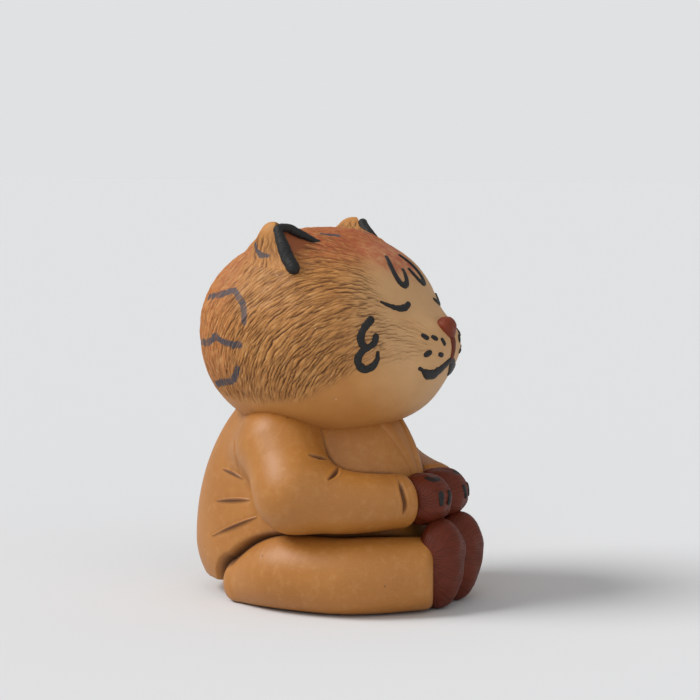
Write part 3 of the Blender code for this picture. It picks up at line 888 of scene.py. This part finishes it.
def ear_fillet(skin, outward):
    """How far the head's skin rises to run smoothly into the root of each ear."""
    lift = np.zeros(len(skin))
    for side in SIDES.values():
        grid, places = ear_form(side)[:2]
        set_places(grid.bm, places)
        bmesh.ops.recalc_face_normals(grid.bm, faces=grid.bm.faces)
        tree = BVHTree.FromBMesh(grid.bm)
        grid.bm.free()
        near = np.linalg.norm(skin - places.mean(axis=0), axis=1) < EAR_FILLET_REACH
        height = np.zeros(near.sum())
        for _ in range(8):
            tried = skin[near] + outward[near] * height[:, None]
            ear = skin_gaps(tree, tried, outward[near])
            head = head_gap(tried)
            under = 0.8 * np.maximum(head - ear - 0.0003, 0.0)
            height = moved_height(height, joined(head, ear, ear_fill(tried)) + under)
        lift[near] = np.where(np.abs(height) > np.abs(lift[near]), height, lift[near])
    return lift


def moved_height(height, gap, low=-0.002, high=0.004):
    """Heights a step nearer to where the gap over them is zero, held between two limits."""
    return np.clip(height - 0.7 * gap, low, high)


# Ears

EAR_TIP = (95.2, 50.2)
EAR_OUTER = (83.0, 31.0)
EAR_INNER = (70.0, 55.0)
EAR_BACK = (113.0, 40.0)
EAR_RISE = 0.0062
EAR_LENGTH = 1.35
EAR_HOLLOW = 0.0012
EAR_FUR_DEPTH = 0.00024
EAR_STROKE_HALF_WIDTH = 0.0004
EAR_STROKE = [(0.66, 336.0), (0.67, 324.0), (0.60, 312.0), (0.50, 298.0)]
BACK_COIL_RADIUS = 0.00118
FRONT_COIL_RADIUS = 0.00080
FRONT_COIL_ANGLE = math.pi - 0.4
COIL_POINTS = 30


def ear_form(side):
    """The ear's grid, its plain places and their share of the way down, then the way from a
    share and an angle to a place, and the direction in which the ear faces."""
    tip = head_place(*EAR_TIP, side) + direction(*EAR_TIP, side) * EAR_RISE
    outer = head_place(*EAR_OUTER, side)
    inner = head_place(*EAR_INNER, side)
    back = head_place(*EAR_BACK, side)
    root = (outer + inner) / 2
    facing = unit(np.cross(inner - tip, outer - tip)) * side

    def place(share, angle):
        share = np.asarray(share, float)
        wide = np.cos(angle)
        deep = np.sin(angle)
        depth = np.where(deep[:, None] > 0, -facing * EAR_HOLLOW, root - back)
        spread = (outer - root) * wide[:, None] + depth * deep[:, None]
        behind = np.clip(-wide, 0.0, 1.0) * np.clip(-deep, 0.0, 1.0)
        spread = spread * (1 + 0.9 * behind * smooth(share, 0.2, 1.0))[:, None]
        fullness = 0.86 - 0.12 * wide - 0.30 * np.clip(-deep, 0.0, 1.0) - 0.4 * behind
        closing = np.sqrt(np.clip(1 - ((share - 1.2) / 0.15).clip(0, 1) ** 2, 0, 1))
        reach = closing * share**fullness
        return tip + (root - tip) * share[:, None] + spread * reach[:, None]

    grid = BallGrid(200, 120)
    share = EAR_LENGTH * (0.35 * grid.share + 0.65 * (0.5 - 0.5 * np.cos(grid.share * math.pi)))
    share = np.clip(share, 0.0, EAR_LENGTH)
    return grid, place(share, grid.angle), share, place, facing


def make_ear(name, side):
    grid, places, share, place, facing = ear_form(side)
    deep = np.sin(grid.angle)
    rings = places[grid.order]
    normals = grid.spread(grid_normals(rings))
    height = np.zeros(len(places))
    for _ in range(12):
        tried = places + normals * height[:, None]
        head = head_gap(tried)
        under = 0.8 * np.maximum(height - head, 0.0)
        height = moved_height(height, joined(head, height, ear_fill(tried)) + under + 0.00003)
    fur = smooth(-deep, -0.15, 0.25) * smooth(share, 0.1, 0.4)
    cut = grid.spread(combed(rings, 0.0009, 0.0032, 0.4, 21))
    down, angle = spline(EAR_STROKE, 24).T
    line = place(down, np.radians(angle))
    turn, tilt = angles_of(unit(places - HEAD_CENTRE))
    turn = np.abs(turn)
    layers = {
        "groove": np.clip(cut * fur, 0.0, 1.0),
        "hairy": fur,
        "flow": flow_places(grid, places),
        "stripe": np.where(deep < 0.1, line_gap(places, line) - EAR_STROKE_HALF_WIDTH, 0.005),
        "orange": 0.9 * smooth(turn, 96.0, 128.0),
        "red": crown_wash(turn, tilt) * smooth(share, 0.45, 1.0),
        "inside": smooth(deep, 0.0, 0.12) * smooth(share, 0.03, 0.12),
    }
    sunk = places + normals * (height - EAR_FUR_DEPTH * cut * fur)[:, None]
    dress(grid.piece(name + "_ear_clay", sunk, layers), head_finish, name + "_ear")
    make_coils(name + "_ear", place, facing)


def make_coils(name, place, facing):
    """Coils of black clay along both edges of an ear, from the tip, where they meet, downwards."""
    share = np.linspace(0.15, 0.98, COIL_POINTS)
    proud = BACK_COIL_RADIUS * (0.5 + 0.2 * smooth(share, 0.2, 0.6) + 0.5 * smooth(share, 0.7, 0.98))
    line = place(share, np.zeros(COIL_POINTS)) + facing * proud[:, None]
    radii = BACK_COIL_RADIUS * (0.66 + 0.34 * smooth(share, 0.1, 0.6))
    make_coil(name + "_back_bead", line, radii, facing, name + "_back_coil")
    start = line[0]
    share = np.linspace(0.14, 1.15, COIL_POINTS)
    proud = FRONT_COIL_RADIUS * (0.6 + 0.4 * smooth(share, 0.4, 0.8))
    proud = proud + 0.0006 * smooth(share, 0.6, 1.1)
    line = place(share, np.full(COIL_POINTS, FRONT_COIL_ANGLE)) + facing * proud[:, None]
    line = start + (line - start) * smooth(share, 0.10, 0.34)[:, None]
    radii = FRONT_COIL_RADIUS * (1.0 - 0.4 * smooth(share, 0.5, 1.04))
    make_coil(name + "_front_bead", line, radii, facing, name + "_front_coil")


def make_coil(name, line, radii, facing, node):
    grid, places = tube(line, np.tile(facing, (len(line), 1)), radii, radii, 48, 130)
    rings = places[grid.order]
    outward = unit(rings - rings.mean(axis=1, keepdims=True))
    bumps = 0.00005 * ripple(rings, 0.0014, 31) + 0.00003 * ripple(rings, 0.00045, 32)
    places[grid.order] = rings + outward * bumps[..., None]
    dress(grid.piece(name, places), black_finish, node)


# Face

# Strokes of slip: turn and tilt on the left side, and half width in millimetres
EYELID = [
    (35.6, 17.0, 0.20), (31.0, 15.2, 0.42), (25.1, 13.6, 0.64), (20.5, 14.0, 0.66), (16.6, 15.7, 0.50),
]
BROW = [
    (12.0, 44.6, 0.36), (16.3, 37.1, 0.60), (17.2, 30.4, 0.72), (15.0, 26.2, 0.74),
    (9.7, 26.9, 0.62), (6.2, 31.4, 0.52), (4.6, 35.0, 0.40),
]
CHEEK_UPPER = [
    (42.6, 8.6, 0.74), (46.1, 5.1, 0.72), (47.9, 1.6, 0.70), (47.7, -1.7, 0.66), (45.6, -3.7, 0.60),
]
CHEEK_LOWER = [
    (40.6, 1.1, 0.60), (41.4, -1.5, 0.64), (43.7, -3.2, 0.60), (46.8, -4.8, 0.60),
    (49.1, -7.5, 0.70), (49.1, -10.6, 0.70), (46.2, -13.1, 0.74),
    (42.6, -12.2, 0.66), (40.3, -9.2, 0.56), (39.9, -6.0, 0.30),
]
MOUTH = [
    (16.4, -14.6, 0.56), (13.2, -16.0, 1.08), (9.6, -16.0, 1.26),
    (6.4, -14.4, 1.16), (3.6, -12.4, 0.96), (0.0, -10.4, 0.74),
]
MOUTH_CORNER = [(19.4, -13.1, 0.36), (18.0, -13.8, 0.40)]
# Turn and tilt of each dot's middle, the same from there to its end, and its half width
WHISKER_DOTS = [
    (17.6, 0.2, 0.8, 0.5, 0.49), (12.9, -0.5, 0.8, 0.4, 0.47), (8.2, -2.3, 0.5, 0.8, 0.44),
    (17.0, -6.7, 0.9, -0.4, 0.56), (9.8, -7.4, 0.7, 0.2, 0.50),
]
LIP_PATH = [(0.0, -2.0), (0.0, -6.0), (0.0, -11.0)]
LIP_HALF_WIDTHS = (0.0010, 0.0006)
LIP_HEIGHT = 0.0003
SLIP_HEIGHT = 0.00030
DOT_HEIGHT = 0.00026
CORNER_HEIGHT = 0.00022


def slip_line(path, side, height=SLIP_HEIGHT, rows=110):
    """Grid and places of one stroke of thick black slip on the head."""
    turn, tilt, half_width = spline(path, 60).T
    line = head_place(turn, tilt, side)
    half_width = half_width * MM * (1 + 0.10 * ripple(line, 0.0012, 41))
    return tube(line, head_normal(turn, tilt, side), half_width, height, 24, rows)


def slip_mark(name, strokes, node):
    dress(finished(name, joined_up(strokes)), black_finish, node)


def make_face(name, side):
    cheek = [slip_line(CHEEK_UPPER, side), slip_line(CHEEK_LOWER, side, SLIP_HEIGHT * 0.93)]
    slip_mark(name + "_eyelid_slip", [slip_line(EYELID, side)], name + "_eyelid")
    slip_mark(name + "_brow_slip", [slip_line(BROW, side)], name + "_brow_stroke")
    slip_mark(name + "_cheek_slip", cheek, name + "_cheek_stroke")
    for number, (turn, tilt, along, rise, width) in enumerate(WHISKER_DOTS, start=1):
        node = name + "_whisker_dot_" + str(number)
        start = turn + along, tilt + rise, width * 0.85
        end = turn - along, tilt - rise, width * 0.9
        stroke = slip_line([start, (turn, tilt, width), end], side, DOT_HEIGHT, 50)
        slip_mark(node + "_slip", [stroke], node)


def make_mouth():
    path = [(-turn, tilt, width) for turn, tilt, width in MOUTH] + MOUTH[-2::-1]
    strokes = [slip_line(path, 1.0, SLIP_HEIGHT, 170)]
    for side in SIDES.values():
        strokes.append(slip_line(MOUTH_CORNER, side, CORNER_HEIGHT, 40))
    slip_mark("mouth_slip", strokes, "mouth_stroke")


def make_nose():
    grid = BallGrid(90, 60)
    ways = grid.ways()
    offset = ways * full_ball(ways, *NOSE_FORM)[:, None]
    taper = 1 - 0.5 * smooth(-offset[:, 2], -0.0012, 0.0026)
    offset[:, 0] = offset[:, 0] * taper
    offset[:, 1] = offset[:, 1] * (0.7 + 0.3 * taper)
    centre = head_place(0.0, NOSE_TILT) + np.array((0.0, NOSE_SINK, 0.0))
    places = centre + offset + 0.00004 * ways * ripple(offset, 0.0011, 71)[:, None]
    # Painted shade: the nose darkens towards its underside, carried in the groove layer
    shade = 0.6 * smooth(-offset[:, 2], -0.0004, 0.0022)
    dress(grid.piece("nose_clay", places, {"groove": shade}), nose_finish, "nose")
    turn, tilt = spline(LIP_PATH, 40).T
    half_width = np.linspace(*LIP_HALF_WIDTHS, 40)
    normals = head_normal(turn, tilt)
    grid, places = tube(head_place(turn, tilt), normals, half_width, LIP_HEIGHT, 20, 60)
    layers = {"groove": np.full(len(places), 0.9)}
    dress(grid.piece("lip_line_clay", places, layers), nose_finish, "lip_line")


# Robe


def sleeve_gap(side):
    """Distance outside a sleeve: upper arm and forearm, cut off at the cuff."""
    joints = mirrored(SLEEVE_LINE, side)
    forearm = limb_gap(joints[1:], SLEEVE_RADII[1:])
    onward = unit(mirrored(CUFF_FACING, side))

    def gap(places):
        upper = line_gap(places, joints[:2], SLEEVE_RADII[:2])
        whole = joined(upper, forearm(places), ELBOW_FILL)
        end = (places - joints[-1]) @ onward - CUFF_OVERHANG
        return trimmed(whole, end, HEM_ROUNDING)

    return gap


def leg_gap(side):
    """Distance outside a leg, cut off at its hem and flat underneath."""
    knots = mirrored(LEG_LINE, side)
    bent = limb_gap(knots, LEG_RADII)
    onward = unit(mirrored(LEG_HEM_FACING, side))

    def gap(places):
        whole = trimmed(bent(places), (places - knots[-1]) @ onward, HEM_ROUNDING)
        return trimmed(whole, -places[:, 2], SOLE_ROUNDING)

    return gap


def shoulder_gaps(side):
    """Distances outside the robe, the sleeve and the two run together, and how far the shoulder
    between them is filled with clay, 0 to 1."""
    sleeve = sleeve_gap(side)
    pleat = cut_line(*PLEAT, side)

    def gaps(places):
        robe = robe_gap(places)
        arm = sleeve(places)
        filled = smooth(places[:, 2], 0.0185, 0.0300) * smooth(places[:, 1], -0.0070, 0.0050)
        whole = joined(robe, arm, 0.0006 + 0.0094 * filled)
        return robe, arm, whole + 0.45 * np.clip(-line_gap(places, *pleat), 0.0, None), filled

    return gaps


def sleeve_skin(side):
    """Distance outside the sleeve as it is seen, which ends just under the robe's skin."""
    gaps = shoulder_gaps(side)

    def gap(places):
        robe, arm, whole, _ = gaps(places)
        under = 0.00003 * (1 - smooth(robe - arm, 0.0005, 0.0011))
        return whole + 0.8 * np.maximum(arm - robe, 0.0) + under

    return gap


def slope(gap, places, step=0.00002):
    """A rough distance and the direction in which it grows fastest."""
    here = gap(places)
    parts = [(gap(places + np.eye(3)[axis] * step) - here) / step for axis in range(3)]
    return here, np.stack(parts, axis=1)


def settle(places, gap, rounds):
    """Move places onto the skin where the gap is zero."""
    for _ in range(rounds):
        here, away = slope(gap, places)
        strength = np.maximum((away * away).sum(1), 0.2)
        places = places - away * np.clip(here / strength, -0.0015, 0.0015)[:, None]
    return places


def moulded(points, radii, side, gap, fineness):
    """A working mesh of the skin where the gap is zero, started from balls along a limb."""
    line = spline(mirrored(points, side), 40)
    radii = np.interp(np.linspace(0, len(points) - 1, 40), range(len(points)), radii)
    bm = bmesh.new()
    for centre, radius in zip(line, radii):
        place = Matrix.Translation(Vector(centre))
        bmesh.ops.create_icosphere(bm, subdivisions=3, radius=radius, matrix=place)
    holder = shown("rough", closed_off("rough", bm))
    remesh = holder.modifiers.new("voxels", "REMESH")
    remesh.mode = "VOXEL"
    remesh.voxel_size = fineness
    graph = bpy.context.evaluated_depsgraph_get()
    even = bpy.data.meshes.new_from_object(holder.evaluated_get(graph))
    bpy.data.objects.remove(holder, do_unlink=True)
    bm = bmesh.new()
    bm.from_mesh(even)
    axes = {"use_axis_x": True, "use_axis_y": True, "use_axis_z": True}
    for rounds in (3, 2, 2):
        set_places(bm, settle(get_places(bm), gap, rounds))
        bmesh.ops.smooth_vert(bm, verts=bm.verts, factor=0.5, **axes)
    set_places(bm, settle(get_places(bm), gap, 2))
    return bm


def cut_line(path, half_width, side):
    """A cut through the points of a path, narrow at both ends: its line and half widths."""
    line = spline(mirrored(path, side), 30)
    share = np.linspace(0.0, 1.0, 30)
    return line, half_width * np.sin(math.pi * np.clip(0.06 + 0.9 * share, 0.0, 1.0)) ** 0.6


def refine(bm, cuts, reach):
    """Halve the mesh's edges near cuts, twice."""
    for _ in range(2):
        places = get_places(bm)
        near = np.zeros(len(places), bool)
        for line, radii in cuts:
            near |= line_gap(places, line, radii) < reach
        bm.verts.index_update()
        edges = [edge for edge in bm.edges if all(near[end.index] for end in edge.verts)]
        bmesh.ops.subdivide_edges(bm, edges=edges, cuts=1, use_grid_fill=True)


def scored(bm, cuts, steepness):
    """Press the cuts into the mesh; gives how deep each vertex lies in a cut, 0 to 1."""
    places = get_places(bm)
    normals = get_normals(bm)
    depth = np.zeros(len(places))
    lip = np.zeros(len(places))
    shade = np.zeros(len(places))
    for line, radii in cuts:
        gap = line_gap(places, line, radii)
        widest = radii.max()
        depth = np.maximum(depth, np.clip(-gap, 0.0, None) * steepness)
        lip = np.maximum(lip, np.exp(-((gap - widest * 0.5) / (widest * 0.5)) ** 2) * widest * 0.15)
        shade = np.maximum(shade, np.clip(-gap / (0.6 * widest), 0.0, 1.0))
    set_places(bm, places + normals * (lip - depth)[:, None])
    return shade


def make_sleeves():
    side = SIDES["right"]
    bm = moulded(SLEEVE_LINE, SLEEVE_RADII, side, sleeve_skin(side), SLEEVE_FINENESS)
    cuts = [cut_line(path, width, side) for path, width in SLEEVE_CUTS]
    shade = scored(bm, cuts, 1.3)
    places = get_places(bm)
    robe, _, _, filled = shoulder_gaps(side)(places)
    # Painted shade in the cuts and where the sleeve meets the robe and the legs
    crease = (1 - smooth(np.abs(robe), 0.0, 0.0006)) * (1 - filled)
    crease = np.maximum(crease, 1 - smooth(leg_gap(side)(places), 0.0, 0.0007))
    layers = {"crease": np.maximum(crease, shade)}
    make_pair("sleeve_clay", "sleeve", bm, layers, robe_finish)


def make_legs():
    side = SIDES["right"]
    bm = moulded(LEG_LINE, LEG_RADII, side, leg_gap(side), LEG_FINENESS)
    places = get_places(bm)
    # Painted shade where the leg runs into the robe and under the sleeve
    crease = 1 - smooth(robe_gap(places), -0.0006, 0.0006)
    crease = np.maximum(crease, 1 - smooth(sleeve_gap(side)(places), 0.0, 0.0007))
    make_pair("leg_clay", "leg", bm, {"crease": crease}, robe_finish)


def raise_shoulders(skin, normals):
    """Heights that run the robe's skin smoothly out into both sleeves, and under them."""
    lift = np.zeros(len(skin))
    for side in SIDES.values():
        gaps = shoulder_gaps(side)
        near = sleeve_gap(side)(skin) < 0.013
        height = np.zeros(near.sum())
        for _ in range(30):
            robe, arm, whole, _ = gaps(skin[near] + normals[near] * height[:, None])
            under = 0.8 * np.maximum(robe - arm - 0.0007, 0.0)
            height = moved_height(height, whole + under, -0.003, 0.006)
        lift[near] = height
    return lift


def hem_groove(places):
    """How far the robe's skin is pressed in beside the legs, deepest low at the back."""
    depth = np.zeros(len(places))
    for side in SIDES.values():
        width = 0.0005 + 0.0016 * smooth(places[:, 1], 0.000, 0.014)
        depth = np.maximum(depth, np.clip(1.8 * (width - leg_gap(side)(places)), 0.0, 0.0045))
    return depth


def make_robe():
    grid = BallGrid(440, 150)
    ways = grid.ways()
    skin = ROBE_CENTRE + ways * robe_radius(ways)[:, None]
    set_places(grid.bm, skin)
    normals = get_normals(grid.bm)
    normals = normals * np.sign((normals * ways).sum(1, keepdims=True))
    skin = skin + normals * raise_shoulders(skin, normals)[:, None]
    skin = skin - normals * hem_groove(skin)[:, None]
    tuck = smooth(HEM_LEVEL - skin[:, 2], 0.0, 0.0018) * smooth(skin[:, 1], 0.004, 0.014)
    skin = skin - normals * (HEM_TUCK * tuck)[:, None]
    bm = grid.bm
    set_places(bm, skin)
    geom = bm.verts[:] + bm.edges[:] + bm.faces[:]
    bmesh.ops.bisect_plane(bm, geom=geom, plane_co=(0, 0, 0), plane_no=(0, 0, -1), clear_outer=True)
    close_bottom(bm)
    cuts = [cut_line(path, width, side) for path, width in ROBE_CUTS for side in SIDES.values()]
    refine(bm, cuts, 0.0007)
    # Painted shade in the pressed cuts and where the robe meets the legs and the sleeves
    crease = scored(bm, cuts, 1.2)
    places = get_places(bm)
    for side in SIDES.values():
        crease = np.maximum(crease, 1 - smooth(leg_gap(side)(places), 0.0003, 0.0020))
        _, arm, _, filled = shoulder_gaps(side)(places)
        crease = np.maximum(crease, (1 - smooth(np.abs(arm), 0.0, 0.0008)) * (1 - filled))
    dress(finished("robe_clay_body", bm, {"crease": crease}), robe_finish, "robe_body")


def close_bottom(bm):
    """Turn the robe's cut lower edge in round the base plate and close it above the plate."""
    rim = [edge for edge in bm.edges if edge.is_boundary]
    plate_low, plate_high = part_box("base_plate")
    for inward, rise in ((True, 0.0), (False, PLATE_COVER)):
        made = bmesh.ops.extrude_edge_only(bm, edges=rim)["geom"]
        corners = [part for part in made if isinstance(part, bmesh.types.BMVert)]
        rim = [part for part in made if isinstance(part, bmesh.types.BMEdge)]
        if inward:
            low = np.min([corner.co[:] for corner in corners], axis=0)
            high = np.max([corner.co[:] for corner in corners], axis=0)
            for corner in corners:
                for axis in range(2):
                    share = (corner.co[axis] - low[axis]) / (high[axis] - low[axis])
                    near_edge = plate_low[axis] - PLATE_CLEARANCE
                    far_edge = plate_high[axis] + PLATE_CLEARANCE
                    corner.co[axis] = near_edge + share * (far_edge - near_edge)
        for corner in corners:
            corner.co.z += rise
    bmesh.ops.contextual_create(bm, geom=rim)


def make_lapel(name, side):
    """A folded edge of the robe: a flat band of clay from the neck to the middle of the chest."""
    ways = direction(*spline(LAPEL_PATH, 50).T, side)
    line = ROBE_CENTRE + ways * robe_radius(ways)[:, None]
    normals = unit(slope(robe_gap, line)[1])
    half_width = LAPEL_HALF_WIDTH * (1 - 0.3 * np.linspace(0, 1, 50) ** 3)
    grid, places = tube(line - normals * LAPEL_SINK, normals, half_width, LAPEL_HEIGHT, 40, 120)
    layers = {"crease": np.zeros(len(places))}
    dress(grid.piece(name + "_lapel_clay", places, layers), robe_finish, name + "_lapel")


# Paws


def paw_place(ways, centre, form):
    return np.asarray(centre) + ways * full_ball(ways, *form)[:, None]


def make_paws(name, centre, form, seed, marks=()):
    side = SIDES["right"]
    grid = BallGrid(220, 100)
    ways = grid.ways()
    ways = np.stack((ways[:, 2], ways[:, 0], ways[:, 1]), axis=1)
    centre = mirrored(centre, side)
    places = paw_place(ways, centre, form)
    places = places + ways * (PAW_LUMPS * ripple(places, 0.0035, seed))[:, None]
    rings = places[grid.order]
    cut = combed(rings, 0.00052, 0.0030, 0.4, seed)
    places[grid.order] = rings - grid_normals(rings) * (PAW_RIB_DEPTH * cut)[..., None]
    places[:, 0] = np.minimum(places[:, 0], -PAW_GAP)
    places[:, 2] = np.maximum(places[:, 2], 0.0)
    mark = np.zeros(len(places))
    for path in marks:
        line = paw_place(direction(*spline(path, 24).T, side), centre, form)
        mark = np.maximum(mark, 1 - smooth(line_gap(places, line), 0.00045, 0.00075))
    set_places(grid.bm, places)
    layers = {"groove": grid.spread(cut), "mark": mark}
    make_pair(name + "_clay", name, grid.bm, layers, paw_finish)


def make_claws(name, side):
    centre = mirrored(HAND_CENTRE, side)
    half_width = CLAW_HALF_WIDTH * (1 - 0.3 * np.linspace(0, 1, 24))
    for place, path in CLAW_PATHS.items():
        ways = direction(*spline(path, 24).T, side)
        label = name + "_claw_" + place
        line = paw_place(ways, centre, HAND_FORM)
        grid, places = tube(line, ways, half_width, CLAW_HEIGHT, 20, 60)
        dress(grid.piece(label + "_slip", places), black_finish, label)


# Materials and their slots
head_finish = head_clay(), "tan_clay"
robe_finish = robe_clay(), "ochre_clay"
paw_finish = paw_clay("paw_clay", PAW_RED), "red_clay"
nose_finish = paw_clay("nose_clay", NOSE_RED), "red_clay"
black_finish = black_clay(), "black_clay"

make_head()
make_nose()
make_mouth()
make_robe()
make_sleeves()
make_legs()
make_paws("hand", HAND_CENTRE, HAND_FORM, 61, HAND_MARKS)
make_paws("foot", FOOT_CENTRE, FOOT_FORM, 65)
for side_name, side_sign in SIDES.items():
    make_ear(side_name, side_sign)
    make_face(side_name, side_sign)
    make_lapel(side_name, side_sign)
    make_claws(side_name, side_sign)

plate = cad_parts["base_plate"]
plate.data.materials.clear()
plate.data.materials.append(robe_finish[0])


# Stage

FLOOR_HALF_SIZE = 6.0
SKY_STRENGTH = 0.40
CAMERA_TURN = math.radians(-64.0)
CAMERA_DISTANCE = 0.400
CAMERA_HEIGHT = 0.0826
CAMERA_PITCH = math.radians(5.2)
FOCAL_PIXELS = 2143.0
PICTURE_WIDTH = 700.0
OBJECT_AXIS_PIXEL = 334.0
SENSOR_WIDTH = 36.0


def make_stage():
    """A matt floor, rendered in the same grey as the backdrop from every side."""
    bm = bmesh.new()
    bmesh.ops.create_grid(bm, x_segments=1, y_segments=1, size=FLOOR_HALF_SIZE)
    floor = shown("floor", closed_off("floor", bm))
    floor.data.materials.append(Finish("floor_paint").surface(paint(FLOOR_GREY), 0.8, 0.0))


def make_world():
    """Even white light from all round, seen as a grey backdrop."""
    world = bpy.data.worlds.new("studio")
    bpy.context.scene.world = world
    world.use_nodes = True
    sky = Nodes(world.node_tree)
    light = world.node_tree.nodes["Background"]
    sky.plug(light.inputs["Color"], (1.0, 1.0, 1.0, 1.0))
    sky.plug(light.inputs["Strength"], SKY_STRENGTH)
    backdrop = sky.node("ShaderNodeBackground", None, {"Color": paint(BACKDROP_GREY)})
    in_view = sky.node("ShaderNodeLightPath", output="Is Camera Ray")
    inputs = {0: in_view, 1: Value(sky, light.outputs[0]), 2: backdrop}
    choice = sky.node("ShaderNodeMixShader", None, inputs)
    sky.plug(world.node_tree.nodes["World Output"].inputs["Surface"], choice)


def make_lamp(name, place, softness, strength):
    lamp = bpy.data.lights.new(name, "SUN")
    lamp.energy = strength
    lamp.angle = math.radians(softness)
    item = shown(name, lamp)
    item.location = place
    item.rotation_euler = (-Vector(place)).to_track_quat("-Z", "Y").to_euler()


def make_camera():
    back = Vector((math.sin(CAMERA_TURN), -math.cos(CAMERA_TURN), 0.0))
    place = back * CAMERA_DISTANCE + Vector((0.0, 0.0, CAMERA_HEIGHT))
    aside = Vector((math.cos(CAMERA_TURN), math.sin(CAMERA_TURN), 0.0))
    ahead = -back * math.cos(CAMERA_PITCH) - Vector((0.0, 0.0, math.sin(CAMERA_PITCH)))
    upward = aside.cross(ahead)
    yaw = math.atan((PICTURE_WIDTH / 2 - OBJECT_AXIS_PIXEL) / FOCAL_PIXELS)
    turned = ahead * math.cos(yaw) + aside * math.sin(yaw)
    across = aside * math.cos(yaw) - ahead * math.sin(yaw)
    lens = bpy.data.cameras.new("camera")
    lens.sensor_width = SENSOR_WIDTH
    lens.lens = FOCAL_PIXELS * SENSOR_WIDTH / PICTURE_WIDTH
    lens.clip_start = 0.01
    item = shown("camera", lens)
    facing = Matrix((across, upward, -turned)).transposed().to_4x4()
    item.matrix_world = Matrix.Translation(place) @ facing
    bpy.context.scene.camera = item


make_stage()
make_world()
make_lamp("window", (-0.30, 0.45, 0.55), 30.0, 2.4)
make_lamp("fill", (-0.55, -0.45, 0.35), 80.0, 0.7)
make_camera()
bpy.context.scene.view_settings.view_transform = "Standard"
